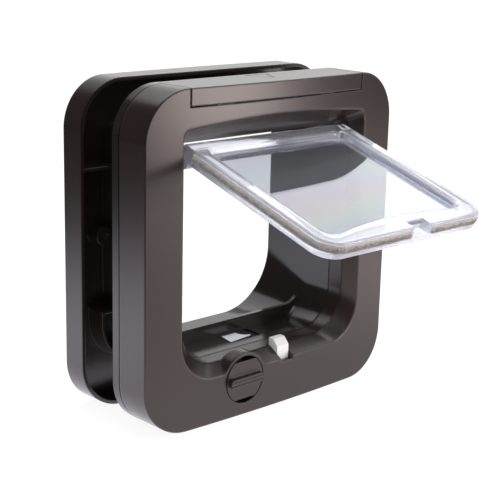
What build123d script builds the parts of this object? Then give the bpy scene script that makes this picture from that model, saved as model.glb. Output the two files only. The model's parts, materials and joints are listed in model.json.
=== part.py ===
from build123d import *
import math
import os

# Cat flap for a door: an inner unit with a powered latch, a clear flap, a sleeve through the door and an
# outer frame. Millimetres. X runs to the right seen from the room, Y out through the door, Z up.
# The origin lies where the inner unit meets the door, midway between the two door screws.
# The flap and its brushes are modelled shut, then turned open about the hinge line, as the part rests.

# Frames
FRAME_SIZE = 210.0
FRAME_CORNER = 31.0
WALL = 2.5
EDGE_BEVEL = 0.5
INNER_DEPTH = 30.5
FACE_BOW = 4.0
COVER_BAND = 5.9
SEAM_GAP = 0.8
SEAM_SINK = 1.0
DOOR_GAP = 31.0
EXTERIOR_DEPTH = 17.6
EXTERIOR_BOW = 3.0
SCREW_RISE = 6.0

# Opening in the room face
SIDE_BAND = 27.0
OPENING_ARCH = 3.5
SILL_CORNER = 25.0
CROWN_CORNER = 5.0

# Tunnel through the door
FLARE_WIDTH = 7.0
FLARE_RISE = 6.5
FLARE_DEPTH = 6.5
CREASE_DROP = 7.0
CREASE_ARCH = 1.7
COVE_DROP = 8.7
REVEAL_DEPTH = 18.5
TUNNEL_CORNER = 26.0
FUNNEL_START = 10.0
FAR_CORNER = 44.0
HEADER_CORNER = 6.0
SLEEVE_SHORT = 0.6
SLEEVE_GAP = 0.3
COLLAR_GAP = 0.4
RIDGE_PLACE = 13.5
RIDGE_DEPTH = 3.0
RIDGE_HEIGHT = 8.8
RIDGE_END_RADIUS = 16.0

# Flap
PIVOT_BEHIND_EDGE = 11.0
PIVOT_DROP = 6.9
FLAP_OPEN_ANGLE = 72.2
FLAP_SIDE_GAP = 1.8
FLAP_FOOT_GAP = 6.4
FLAP_FACE = 8.8
FLAP_THICKNESS = 10.5
FLAP_CORNER = 14.0
FLAP_EDGE = 1.5
RIM_ROUND = 3.4
FLAP_BORDER = 11.0
PANE_THICKNESS = 2.5
PANE_TOP = 9.0
PANE_FOOT = 11.0
PANE_ARCH = 6.5
PANE_CORNER = 7.0
RAIL_RADIUS = 7.0
STUB_RADIUS = 2.5
RUNNING_GAP = 0.05
BUSH_WALL = 2.0
BUSH_FLANGE = 1.5
BRUSH_FROM_FACE = 1.7
BRUSH_WIDTH = 4.3
BRUSH_DEPTH = 3.0
BRUSH_TOP = 10.0
STRIKER_WIDTH = 17.5
STRIKER_SHIFT = -1.05
POCKET_HEIGHT = 8.0
POCKET_GAP = 0.8

# Latch and its drive
LATCH_X = 9.8
LATCH_WIDTH = 10.2
LATCH_RISE = 5.0
LATCH_NOSE = 4.5
LATCH_DEPTH = 8.0
LATCH_SLOPE = 4.0
LATCH_TRAVEL = 7.0
LATCH_GAP = 0.4
NOTCH_DEPTH = 2.0
GUIDE_LENGTH = 1.0
CAM_ROOM = 0.8
CAM_LOW = 4.7
CAM_TURN = 270.0
CAM_WIDTH = 4.0
CAM_GAP = 0.3
SHAFT_RADIUS = 1.5
GEARBOX_RADIUS = 9.0
GEARBOX_LENGTH = 8.0
MOTOR_RADIUS = 6.0

# Lock knob
KNOB_X = -27.0
KNOB_DROP = 6.7
KNOB_RADIUS = 15.2
KNOB_GAP = 0.3
KNOB_FLAT = 12.4
KNOB_THICKNESS = 5.0
GRIP_LENGTH = 29.0
GRIP_WIDTH = 6.5
GRIP_HEIGHT = 3.2
HUMP_WALL = 2.5
HUMP_FOOT = 62.0
HUMP_BLEND = 9.0
CUP_DEPTH = 7.5
KNOB_SHAFT = 3.0

# Batteries and the bay under the cover
COVER_END = 4.3
COVER_LIP = 10.6
COVER_GAP = 0.3
COVER_SEAM = 0.7
CELL_RADIUS = 7.25
CELL_LENGTH = 50.5
CELL_NUB = 1.2
CELL_NUB_RADIUS = 2.7
CELL_GAP = 0.3
ROW_GAP = 0.4
CRADLE_SHEET = 3.631
RIB_WIDTH = 2.4
CONTACT_SHEET = 0.5
PEDESTAL_HALF = 6.5
PEDESTAL_GAP = 0.35
BUTTON_RADIUS = 3.3
BUTTON_TRAVEL = 1.0

# Board, reader coil and screws
BOARD_DROP = 15.0
BOARD_GAP = 1.2
BOARD_EDGE = 1.8
BOARD_SHEET = 1.6
BOARD_STANDOFF = 4.0
COIL_THICKNESS = 4.0
COIL_WIDTH = 6.0
COIL_GAP = 1.0
CASE_SCREW_GAP = 1.6
CASE_BOSS_RADIUS = 4.0
CASE_SCREW_RADIUS = 1.4
DOOR_BOSS_RADIUS = 4.6
DOOR_BOSS_GAP = 0.6
DOOR_SCREW_RADIUS = 1.8
EXTERIOR_BOSS_RADIUS = 5.8
WINDOW_LEFT = -13.0
WINDOW_RIGHT = 16.0
WINDOW_NEAR = -4.0
WINDOW_FAR = 11.0
WINDOW_SINK = 0.8
TONGUE_GAP = 0.2
TONGUE_WALL = 1.5
TONGUE_REACH = 3.0

# Levels and planes worked out from the sizes above
HALF_FRAME = FRAME_SIZE / 2
MIDDLE = -SCREW_RISE
BOTTOM = MIDDLE - HALF_FRAME
TOP = MIDDLE + HALF_FRAME
FRONT = -INNER_DEPTH
APEX = FRONT - FACE_BOW


def face_y(x):
    """Depth of the bowed room face at the distance x from its middle."""
    radius = (HALF_FRAME**2 + FACE_BOW**2) / (2 * FACE_BOW)
    return APEX + radius - math.sqrt(radius**2 - x**2)


# Battery rows: the front row lies just behind the room face, the back row lower and against the rear cover
CELL_REACH = 2 * CELL_LENGTH / 2 + CELL_GAP / 2
FRONT_ROW_Y = face_y(CELL_REACH) + WALL + CELL_GAP + CELL_RADIUS
FRONT_ROW_Z = TOP - WALL - 2 * CELL_GAP - CELL_RADIUS
BACK_ROW_Y = -WALL - CELL_GAP - CELL_RADIUS
ROW_PITCH = 2 * CELL_RADIUS + ROW_GAP
BACK_ROW_Z = FRONT_ROW_Z - math.sqrt(max(0.0, ROW_PITCH**2 - (BACK_ROW_Y - FRONT_ROW_Y) ** 2))
CELL_ROWS = ((FRONT_ROW_Y, FRONT_ROW_Z), (BACK_ROW_Y, BACK_ROW_Z))

# Heights and widths of the opening and the tunnel
SEAM = -COVER_BAND
EXTERIOR_EDGE = DOOR_GAP + EXTERIOR_DEPTH
EXTERIOR_APEX = EXTERIOR_EDGE + EXTERIOR_BOW
SLEEVE_LENGTH = EXTERIOR_EDGE - SLEEVE_SHORT
FLARE_END = FRONT + FLARE_DEPTH
REVEAL_END = FRONT + REVEAL_DEPTH
OPENING_HALF = HALF_FRAME - SIDE_BAND
TUNNEL_HALF = OPENING_HALF - FLARE_WIDTH
CAM_HIGH = CAM_LOW + LATCH_TRAVEL
CAM_Z = BOTTOM + WALL + CAM_ROOM + CAM_HIGH
GUIDE_FOOT = CAM_Z + CAM_HIGH + CAM_GAP
NOTCH_FLOOR = GUIDE_FOOT + GUIDE_LENGTH
SILL_Z = NOTCH_FLOOR + NOTCH_DEPTH
FLOOR_Z = SILL_Z + FLARE_RISE
COIL_OUT = WALL + SLEEVE_GAP + COIL_THICKNESS
COIL_CLEAR_Z = BACK_ROW_Z - CELL_RADIUS - CELL_GAP - CRADLE_SHEET
HEADER_Z = COIL_CLEAR_Z - COIL_GAP - COIL_OUT
CREASE_Z = HEADER_Z + COVE_DROP
CROWN_Z = CREASE_Z + CREASE_DROP
SCREW_SPAN = 2 * (TUNNEL_HALF + COIL_OUT + DOOR_BOSS_GAP + DOOR_BOSS_RADIUS)
PIVOT_Y = FRONT + PIVOT_BEHIND_EDGE
PIVOT_Z = HEADER_Z - PIVOT_DROP
FLAP_ROOM_Y = PIVOT_Y - FLAP_FACE
FLAP_FAR_Y = FLAP_ROOM_Y + FLAP_THICKNESS
FLAP_FOOT_Z = FLOOR_Z + FLAP_FOOT_GAP
FLAP_HALF = TUNNEL_HALF - FLAP_SIDE_GAP
HINGE_LINE = Axis((0, PIVOT_Y, PIVOT_Z), (1, 0, 0))
KNOB_Z = SILL_Z - KNOB_DROP
LATCH_LEFT = LATCH_X - LATCH_WIDTH / 2
LATCH_RIGHT = LATCH_X + LATCH_WIDTH / 2
LATCH_BACK = FRONT + LATCH_DEPTH
CUT_SPARE = 1.0


def upright(y):
    """Upright plane at depth y: local x is X, local y is Z, and an extrusion goes towards the room."""
    return Plane.XZ.offset(-y)


def frame_outline(y, inset=0.0):
    """Rounded square of the two frames, drawn in by inset."""
    with BuildSketch(upright(y)) as outline:
        with Locations((0, MIDDLE)):
            side = FRAME_SIZE - 2 * inset
            RectangleRounded(side, side, FRAME_CORNER - inset)
    return outline.sketch


def bow_plan(edge_y, bow, flat_y):
    """Plan of a slab, seen from above, with one bowed face and one flat face."""
    with BuildSketch(Plane.XY.offset(BOTTOM - CUT_SPARE)) as plan:
        with BuildLine():
            ThreePointArc((-HALF_FRAME, edge_y), (0, edge_y - bow), (HALF_FRAME, edge_y))
            Polyline((HALF_FRAME, edge_y), (HALF_FRAME, flat_y), (-HALF_FRAME, flat_y), (-HALF_FRAME, edge_y))
        make_face()
    return plan.sketch


BOW_HEIGHT = FRAME_SIZE + 2 * CUT_SPARE


def passage(y, half, floor, crown, arch, floor_corner, crown_corner, grow):
    """Section of the passage at depth y: rounded floor corners, a straight or arched top, grown all round."""
    side = half + grow
    shoulder = crown - arch + grow
    with BuildSketch(upright(y)) as outline:
        with BuildLine():
            Polyline((side, shoulder), (side, floor - grow), (-side, floor - grow), (-side, shoulder))
            if arch > 0:
                ThreePointArc((-side, shoulder), (0, crown + grow), (side, shoulder))
            else:
                Line((-side, shoulder), (side, shoulder))
        make_face()
        fillet(outline.vertices().group_by(Axis.Y)[0], radius=floor_corner + grow)
        fillet(outline.vertices().group_by(Axis.Y)[-1], radius=crown_corner + grow)
    return outline.sketch


MOUTH_Y = APEX - CUT_SPARE


def at_mouth(wanted, throat_value, reached_at):
    """Value at the mouth's plane of a straight flare that has the wanted value at the depth reached_at."""
    return throat_value + (wanted - throat_value) * (FLARE_END - MOUTH_Y) / (FLARE_END - reached_at)


def mouth(grow=0.0):
    """Section just in front of the room face."""
    half = at_mouth(OPENING_HALF, TUNNEL_HALF, face_y(OPENING_HALF))
    sill = at_mouth(SILL_Z, FLOOR_Z, APEX)
    crown = at_mouth(CROWN_Z, CREASE_Z, APEX)
    return passage(MOUTH_Y, half, sill, crown, OPENING_ARCH, SILL_CORNER, CROWN_CORNER, grow)


def throat(grow=0.0):
    """Section where the flare ends, with the crease of the header cove at its top."""
    return passage(FLARE_END, TUNNEL_HALF, FLOOR_Z, CREASE_Z, CREASE_ARCH, TUNNEL_CORNER, CROWN_CORNER, grow)


def tunnel(y, grow=0.0):
    """Section of the tunnel from the reveal's end to the outside, where its floor corners grow rounder."""
    share = max(0.0, (y - FUNNEL_START) / (EXTERIOR_APEX - FUNNEL_START))
    corner = TUNNEL_CORNER + share * (FAR_CORNER - TUNNEL_CORNER)
    return passage(y, TUNNEL_HALF, FLOOR_Z, HEADER_Z, 0.0, corner, HEADER_CORNER, grow)


def tunnel_run(near, far, grow, mode=Mode.ADD):
    """Length of the tunnel between two depths, in the piece that is being built."""
    loft([tunnel(near, grow), tunnel(far, grow)], ruled=True, mode=mode)


def block(low, high, mode=Mode.ADD):
    """Box between two corners, in the piece that is being built."""
    with Locations(tuple((a + b) / 2 for a, b in zip(low, high))):
        Box(*[b - a for a, b in zip(low, high)], mode=mode)


def round_bar(x, z, radius, near, far, mode=Mode.ADD):
    """Round bar along Y, in the piece that is being built."""
    with Locations(Location((x, (near + far) / 2, z), (90, 0, 0))):
        Cylinder(radius, far - near, mode=mode)


def cross_bar(y, z, radius, left, right, mode=Mode.ADD):
    """Round bar along X, in the piece that is being built."""
    with Locations(Location(((left + right) / 2, y, z), (0, 90, 0))):
        Cylinder(radius, right - left, mode=mode)


# Battery bay
CRADLE_TOP = BACK_ROW_Z
CONTACT_X = CELL_REACH + 1.6
BAY_END = CONTACT_X + CONTACT_SHEET
BAY_END_TOP = TOP - COVER_LIP - 2 * COVER_SEAM
RIB_PLACES = (-3 * CELL_LENGTH / 4, -CELL_LENGTH / 4, CELL_LENGTH / 4, 3 * CELL_LENGTH / 4)
COIL_BACK = SEAM + 1.4

# Learn button: a pedestal in the bay, with the switch at the bottom of its bore
BUTTON_X = BAY_END + RIB_WIDTH + PEDESTAL_GAP + PEDESTAL_HALF
BUTTON_Y = (FRONT_ROW_Y + BACK_ROW_Y) / 2
COVER_HALF = BUTTON_X + PEDESTAL_HALF + COVER_END
COVER_CUT = COVER_HALF + COVER_SEAM
PEDESTAL_TOP = BACK_ROW_Z + 4.0
SWITCH_FOOT = PEDESTAL_TOP - 11.0
SWITCH_SIDE = 4.4
SWITCH_HEIGHT = 3.6
BUTTON_FOOT = SWITCH_FOOT + SWITCH_HEIGHT + BUTTON_TRAVEL + CELL_GAP
BUTTON_TOP = PEDESTAL_TOP + 3.0

# Knob cup and hump
CUP_RADIUS = KNOB_RADIUS + KNOB_GAP
HUMP_RADIUS = CUP_RADIUS + HUMP_WALL
CUP_FLOOR = APEX + CUP_DEPTH
HUMP_BACK = CUP_FLOOR + HUMP_WALL
KNOB_BOSS_RADIUS = 2 * KNOB_SHAFT
KNOB_BOSS_END = HUMP_BACK + 4.0

# Latch, notch, cam and motor
NOTCH_LEFT = LATCH_LEFT - LATCH_GAP
NOTCH_RIGHT = LATCH_RIGHT + LATCH_GAP
NOTCH_BACK = LATCH_BACK + LATCH_GAP
CAM_FRONT = FRONT + 1.5
CAM_BACK = CAM_FRONT + CAM_WIDTH
LATCH_FOOT = CAM_Z + CAM_LOW + CAM_GAP
STEM_BACK = CAM_BACK + LATCH_GAP
GEARBOX_FRONT = NOTCH_BACK + 0.2
GEARBOX_BACK = GEARBOX_FRONT + GEARBOX_LENGTH
MOTOR_BACK = -WALL - 2.0
MOTOR_CUP_FRONT = MOTOR_BACK - 5.0

# Bushes of the flap's hinge
BUSH_SEAT_RADIUS = STUB_RADIUS + RUNNING_GAP + BUSH_WALL
BUSH_SEAT_X = TUNNEL_HALF + WALL + BUSH_WALL
BUSH_END_X = BUSH_SEAT_X + BUSH_FLANGE

# Tongue of the rear cover, and the screws
TONGUE_OUT = WALL + TONGUE_GAP
TONGUE_IN = TONGUE_OUT + TONGUE_WALL
CASE_SCREW_REACH = FRAME_CORNER - TONGUE_IN - CASE_SCREW_GAP - CASE_BOSS_RADIUS
CASE_SCREW_INSET = FRAME_CORNER - CASE_SCREW_REACH / math.sqrt(2)
CASE_SCREW_PLACES = [
    (side * (HALF_FRAME - CASE_SCREW_INSET), MIDDLE + rise * (HALF_FRAME - CASE_SCREW_INSET))
    for side in (-1, 1)
    for rise in (-1, 1)
]
CASE_HEAD_RADIUS = 2.9
CASE_HEAD_DEPTH = 1.3
CASE_SCREW_LENGTH = 11.0
CASE_HOLE_DEPTH = CASE_SCREW_LENGTH + 1.0
DOOR_SCREW_PLACES = ((-SCREW_SPAN / 2, 0.0), (SCREW_SPAN / 2, 0.0))
DOOR_HOLE_DEPTH = 15.0


# Front housing: bowed shell, flared opening, battery bay, knob cup and latch notch
with BuildPart() as reveal_block:
    loft([mouth(WALL), throat(WALL)], ruled=True)
    loft([throat(WALL), tunnel(REVEAL_END, WALL)], ruled=True)

with BuildPart() as housing_cavity:
    extrude(frame_outline(SEAM + CUT_SPARE, WALL), amount=SEAM + CUT_SPARE - APEX)
    extrude(bow_plan(FRONT + WALL, FACE_BOW, SEAM + CUT_SPARE), amount=BOW_HEIGHT, mode=Mode.INTERSECT)
    add(reveal_block.part, mode=Mode.SUBTRACT)
    for side in (-1, 1):
        bay_wall = sorted((side * COVER_CUT, side * (COVER_CUT + WALL)))
        block((bay_wall[0], APEX, HEADER_Z), (bay_wall[1], REVEAL_END, TOP), mode=Mode.SUBTRACT)
        block((bay_wall[0], REVEAL_END, COIL_CLEAR_Z), (bay_wall[1], SEAM, TOP), mode=Mode.SUBTRACT)

with BuildPart() as knob_hump:
    with BuildSketch(upright(HUMP_BACK)) as hump_outline:
        with Locations((KNOB_X, KNOB_Z)):
            Circle(HUMP_RADIUS)
        with Locations((KNOB_X, SILL_Z - WALL / 2)):
            Rectangle(HUMP_FOOT, WALL)
        corners = hump_outline.vertices()
        near_knob = corners.filter_by_position(Axis.X, KNOB_X - HUMP_RADIUS, KNOB_X + HUMP_RADIUS)
        fillet(near_knob.group_by(Axis.Y)[-1], radius=HUMP_BLEND)
    extrude(amount=HUMP_BACK - APEX)
    extrude(bow_plan(FRONT, FACE_BOW, HUMP_BACK), amount=BOW_HEIGHT, mode=Mode.INTERSECT)

with BuildPart() as seam_groove:
    extrude(frame_outline(SEAM), amount=SEAM_GAP)
    extrude(frame_outline(SEAM, SEAM_SINK), amount=SEAM_GAP, mode=Mode.SUBTRACT)

with BuildPart() as front_housing:
    extrude(frame_outline(SEAM), amount=SEAM - APEX)
    extrude(bow_plan(FRONT, FACE_BOW, SEAM), amount=BOW_HEIGHT, mode=Mode.INTERSECT)
    chamfer(front_housing.faces().sort_by(Axis.Y)[0].edges(), EDGE_BEVEL)
    add(seam_groove.part, mode=Mode.SUBTRACT)
    add(housing_cavity.part, mode=Mode.SUBTRACT)
    # Battery bay: open top and lip, scalloped ribs, end walls and the button's pedestal
    cover_foot = TOP - COVER_LIP - COVER_SEAM
    block((-COVER_CUT, MOUTH_Y, cover_foot), (COVER_CUT, SEAM + CUT_SPARE, TOP + CUT_SPARE),
          mode=Mode.SUBTRACT)
    bay_front = face_y(0) + WALL / 2
    for x in RIB_PLACES:
        block((x - RIB_WIDTH / 2, bay_front, CREASE_Z), (x + RIB_WIDTH / 2, REVEAL_END, CRADLE_TOP))
        block((x - RIB_WIDTH / 2, FLARE_END, HEADER_Z + WALL / 2), (x + RIB_WIDTH / 2, REVEAL_END, CREASE_Z))
        block((x - RIB_WIDTH / 2, REVEAL_END, COIL_CLEAR_Z), (x + RIB_WIDTH / 2, SEAM, CRADLE_TOP))
    for side in (-1, 1):
        wall = sorted((side * BAY_END, side * (BAY_END + RIB_WIDTH)))
        block((wall[0], face_y(BAY_END) + WALL / 2, CREASE_Z), (wall[1], REVEAL_END, BAY_END_TOP))
        block((wall[0], FLARE_END, HEADER_Z + WALL / 2), (wall[1], REVEAL_END, CREASE_Z))
        block((wall[0], REVEAL_END, COIL_CLEAR_Z), (wall[1], SEAM, BAY_END_TOP))
    for y, z in CELL_ROWS:
        cross_bar(y, z, CELL_RADIUS + CELL_GAP, -CELL_REACH, CELL_REACH, mode=Mode.SUBTRACT)
    block(
        (BUTTON_X - PEDESTAL_HALF, BUTTON_Y - PEDESTAL_HALF, HEADER_Z + WALL / 2),
        (BUTTON_X + PEDESTAL_HALF, REVEAL_END, PEDESTAL_TOP),
    )
    with Locations((BUTTON_X, BUTTON_Y, (SWITCH_FOOT + PEDESTAL_TOP) / 2)):
        Cylinder(BUTTON_RADIUS + RUNNING_GAP, PEDESTAL_TOP - SWITCH_FOOT, mode=Mode.SUBTRACT)
    # Seats for the flap's bushes on the side walls
    for side in (-1, 1):
        seat = sorted((side * (TUNNEL_HALF + WALL / 2), side * BUSH_SEAT_X))
        cross_bar(PIVOT_Y, PIVOT_Z, BUSH_SEAT_RADIUS + BUSH_WALL, seat[0], seat[1])
    # Flared opening, with the header cove over the hinge
    loft([mouth(), throat()], ruled=True, mode=Mode.SUBTRACT)
    loft([throat(), tunnel(REVEAL_END)], ruled=True, mode=Mode.SUBTRACT)
    cross_bar(PIVOT_Y, PIVOT_Z, BUSH_SEAT_RADIUS, -BUSH_SEAT_X - CUT_SPARE, BUSH_SEAT_X + CUT_SPARE,
              mode=Mode.SUBTRACT)
    # Knob cup with its hump, and the bearing of the knob's shaft
    add(knob_hump.part)
    round_bar(KNOB_X, KNOB_Z, KNOB_BOSS_RADIUS, HUMP_BACK - HUMP_WALL / 2, KNOB_BOSS_END)
    round_bar(KNOB_X, KNOB_Z, CUP_RADIUS, MOUTH_Y, CUP_FLOOR, mode=Mode.SUBTRACT)
    round_bar(KNOB_X, KNOB_Z, KNOB_SHAFT + RUNNING_GAP, CUP_FLOOR - CUT_SPARE, KNOB_BOSS_END + CUT_SPARE,
              mode=Mode.SUBTRACT)
    # Latch guide under the rim, and the notch through both
    block(
        (NOTCH_LEFT - WALL, face_y(LATCH_X) + WALL / 2, GUIDE_FOOT),
        (NOTCH_RIGHT + WALL, NOTCH_BACK + WALL, SILL_Z),
    )
    block((NOTCH_LEFT, MOUTH_Y, NOTCH_FLOOR), (NOTCH_RIGHT, NOTCH_BACK, FLOOR_Z + HUMP_RADIUS),
          mode=Mode.SUBTRACT)
    block(
        (NOTCH_LEFT, FRONT - LATCH_GAP, GUIDE_FOOT - CUT_SPARE),
        (NOTCH_RIGHT, NOTCH_BACK, FLOOR_Z),
        mode=Mode.SUBTRACT,
    )
    # Bosses for the case screws
    for x, z in CASE_SCREW_PLACES:
        round_bar(x, z, CASE_BOSS_RADIUS, FRONT, -WALL)
        round_bar(x, z, CASE_SCREW_RADIUS + RUNNING_GAP, -WALL - CASE_HOLE_DEPTH, -WALL, mode=Mode.SUBTRACT)

# Rear cover: shallow back shell, tongue, tunnel sleeve with the threshold ridge, and its bosses
RIDGE_Z = FLOOR_Z + RIDGE_HEIGHT
RIDGE_TIP_X = TUNNEL_HALF + SLEEVE_GAP
RIDGE_TIP_Z = RIDGE_Z + RIDGE_END_RADIUS
RIDGE_BEND_X = RIDGE_TIP_X - RIDGE_END_RADIUS
RIDGE_ARC_X = RIDGE_BEND_X + RIDGE_END_RADIUS * math.sin(math.radians(45))
RIDGE_ARC_Z = RIDGE_TIP_Z - RIDGE_END_RADIUS * math.cos(math.radians(45))
SLEEVE_FRONT = REVEAL_END + SLEEVE_GAP
BOARD_LEFT = TUNNEL_HALF + COIL_OUT + BOARD_GAP
BOARD_RIGHT = HALF_FRAME - TONGUE_IN - BOARD_EDGE
BOARD_TOP = -BOARD_DROP
BOARD_FOOT = BOTTOM + FRAME_CORNER
BOARD_REAR = -WALL - BOARD_STANDOFF
BOARD_FACE = BOARD_REAR - BOARD_SHEET
BOARD_SCREW_X = (BOARD_LEFT + BOARD_RIGHT) / 2
BOARD_SCREW_PLACES = ((BOARD_SCREW_X, BOARD_TOP - 4.0), (BOARD_SCREW_X, BOARD_FOOT + 4.0))
BOARD_SCREW_RADIUS = 1.0
STANDOFF_RADIUS = 2.6
WINDOW_GAP = 0.1

with BuildPart() as rear_cover:
    extrude(frame_outline(0.0), amount=COVER_BAND)
    extrude(frame_outline(-WALL, TONGUE_IN), amount=COVER_BAND, mode=Mode.SUBTRACT)
    extrude(frame_outline(SEAM, TONGUE_OUT), amount=TONGUE_REACH)
    extrude(frame_outline(SEAM + CUT_SPARE, TONGUE_IN), amount=TONGUE_REACH + 2 * CUT_SPARE,
            mode=Mode.SUBTRACT)
    block(
        (-COVER_CUT - WALL - CELL_GAP, SEAM - TONGUE_REACH - CUT_SPARE, FRONT_ROW_Z),
        (COVER_CUT + WALL + CELL_GAP, SEAM, TOP + CUT_SPARE),
        mode=Mode.SUBTRACT,
    )
    block((-COVER_CUT, SEAM - CUT_SPARE, FRONT_ROW_Z), (COVER_CUT, -WALL, TOP + CUT_SPARE),
          mode=Mode.SUBTRACT)
    tunnel_run(SLEEVE_FRONT, FUNNEL_START, WALL)
    tunnel_run(FUNNEL_START, SLEEVE_LENGTH, WALL)
    tunnel_run(SLEEVE_FRONT - CUT_SPARE, FUNNEL_START, 0.0, mode=Mode.SUBTRACT)
    tunnel_run(FUNNEL_START, SLEEVE_LENGTH + CUT_SPARE, 0.0, mode=Mode.SUBTRACT)
    with BuildSketch(upright(RIDGE_PLACE + RIDGE_DEPTH)) as ridge_outline:
        with BuildLine():
            Line((-RIDGE_BEND_X, RIDGE_Z), (RIDGE_BEND_X, RIDGE_Z))
            ThreePointArc((RIDGE_BEND_X, RIDGE_Z), (RIDGE_ARC_X, RIDGE_ARC_Z), (RIDGE_TIP_X, RIDGE_TIP_Z))
            Polyline((RIDGE_TIP_X, RIDGE_TIP_Z), (RIDGE_TIP_X, FLOOR_Z - WALL / 2),
                     (-RIDGE_TIP_X, FLOOR_Z - WALL / 2), (-RIDGE_TIP_X, RIDGE_TIP_Z))
            ThreePointArc((-RIDGE_TIP_X, RIDGE_TIP_Z), (-RIDGE_ARC_X, RIDGE_ARC_Z), (-RIDGE_BEND_X, RIDGE_Z))
        make_face()
        add(tunnel(RIDGE_PLACE + RIDGE_DEPTH, WALL / 2), mode=Mode.INTERSECT)
    extrude(amount=RIDGE_DEPTH)
    block(
        (WINDOW_LEFT, WINDOW_NEAR, FLOOR_Z - WALL - CUT_SPARE),
        (WINDOW_RIGHT, WINDOW_FAR, FLOOR_Z + CUT_SPARE),
        mode=Mode.SUBTRACT,
    )
    for x, z in DOOR_SCREW_PLACES:
        round_bar(x, z, DOOR_BOSS_RADIUS, -DOOR_HOLE_DEPTH - WALL, -WALL / 2)
        round_bar(x, z, DOOR_SCREW_RADIUS, -DOOR_HOLE_DEPTH, CUT_SPARE, mode=Mode.SUBTRACT)
    for x, z in CASE_SCREW_PLACES:
        round_bar(x, z, CASE_SCREW_RADIUS + RUNNING_GAP, -WALL - CUT_SPARE, CUT_SPARE, mode=Mode.SUBTRACT)
        round_bar(x, z, CASE_HEAD_RADIUS + COVER_GAP, -CASE_HEAD_DEPTH, CUT_SPARE, mode=Mode.SUBTRACT)
    for x, z in BOARD_SCREW_PLACES:
        round_bar(x, z, STANDOFF_RADIUS, BOARD_REAR, -WALL / 2)
        round_bar(x, z, BOARD_SCREW_RADIUS + RUNNING_GAP, BOARD_REAR, -WALL, mode=Mode.SUBTRACT)
    round_bar(LATCH_X, CAM_Z, MOTOR_RADIUS + WALL, MOTOR_CUP_FRONT, -WALL / 2)
    round_bar(LATCH_X, CAM_Z, MOTOR_RADIUS + RUNNING_GAP, MOTOR_CUP_FRONT, MOTOR_BACK + CELL_GAP,
              mode=Mode.SUBTRACT)

# Battery cover: cap along the top edge with a lip on the room face, finger mark and two guide legs
LEG_WIDTH = 8.0
LEG_LENGTH = 6.0
LEG_SHEET = 1.5
LEG_X = BAY_END + RIB_WIDTH + LEG_WIDTH
MARK_WIDTH = 9.0
MARK_DEPTH = 0.4
MARK_LENGTH = 5.0
MARK_Y = FRONT + INNER_DEPTH / 2

with BuildPart() as battery_cover:
    extrude(frame_outline(-WALL - COVER_GAP), amount=-WALL - COVER_GAP - APEX)
    extrude(bow_plan(FRONT, FACE_BOW, -WALL - COVER_GAP), amount=BOW_HEIGHT, mode=Mode.INTERSECT)
    chamfer(battery_cover.faces().sort_by(Axis.Y)[0].edges(), EDGE_BEVEL)
    block((-COVER_HALF, MOUTH_Y, TOP - COVER_LIP), (COVER_HALF, 0, TOP + CUT_SPARE), mode=Mode.INTERSECT)
    extrude(bow_plan(FRONT + WALL, FACE_BOW, CUT_SPARE), amount=FRAME_SIZE - WALL + CUT_SPARE,
            mode=Mode.SUBTRACT)
    with BuildSketch(Plane.XY.offset(TOP)):
        with Locations((0, MARK_Y)):
            with BuildLine():
                Polyline((-MARK_WIDTH / 2, MARK_LENGTH / 2), (MARK_WIDTH / 2, MARK_LENGTH / 2),
                         (0, -MARK_LENGTH / 2), (-MARK_WIDTH / 2, MARK_LENGTH / 2))
            make_face()
    extrude(amount=-MARK_DEPTH, mode=Mode.SUBTRACT)
    for side in (-1, 1):
        leg = sorted((side * (LEG_X - LEG_WIDTH / 2), side * (LEG_X + LEG_WIDTH / 2)))
        block((leg[0], REVEAL_END, TOP - WALL - LEG_LENGTH), (leg[1], REVEAL_END + LEG_SHEET, TOP - WALL / 2))

# Round cells, two in each row, end to end
cells = []
for row, (y, z) in enumerate(CELL_ROWS):
    for place in (-1, 1):
        left = -CELL_LENGTH - CELL_GAP / 2 if place < 0 else CELL_GAP / 2
        facing = 1 if row == 0 else -1
        nub_left = left + CELL_LENGTH - CELL_NUB if facing > 0 else left
        body_left = left if facing > 0 else left + CELL_NUB
        with BuildPart() as cell:
            cross_bar(y, z, CELL_RADIUS, body_left, body_left + CELL_LENGTH - CELL_NUB)
            chamfer(cell.edges().filter_by(GeomType.CIRCLE), CELL_GAP)
            cross_bar(y, z, CELL_NUB_RADIUS, nub_left, nub_left + CELL_NUB)
        cells.append(cell.part)

with BuildPart() as battery_contacts:
    contact_side = 2 * CELL_NUB_RADIUS
    for side in (-1, 1):
        for y, z in CELL_ROWS:
            sheet = sorted((side * CONTACT_X, side * BAY_END))
            reach = sorted((side * (CELL_REACH + CELL_GAP / 3), side * BAY_END))
            block((sheet[0], y - contact_side, z - contact_side),
                  (sheet[1], y + contact_side, z + contact_side / 2))
            cross_bar(y, z, CELL_NUB_RADIUS, reach[0], reach[1])

# Learn button and its switch
with BuildPart() as memory_button:
    with Locations((BUTTON_X, BUTTON_Y, (BUTTON_FOOT + BUTTON_TOP) / 2)):
        Cylinder(BUTTON_RADIUS, BUTTON_TOP - BUTTON_FOOT)
    fillet(memory_button.edges().group_by(Axis.Z)[-1], BUTTON_RADIUS / 4)

with BuildPart() as button_switch:
    switch_half = SWITCH_SIDE / 2
    block((BUTTON_X - switch_half, BUTTON_Y - switch_half, SWITCH_FOOT),
          (BUTTON_X + switch_half, BUTTON_Y + switch_half, SWITCH_FOOT + SWITCH_HEIGHT))
    with Locations((BUTTON_X, BUTTON_Y, SWITCH_FOOT + SWITCH_HEIGHT)):
        Cylinder(switch_half / 2, CELL_GAP)

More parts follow.
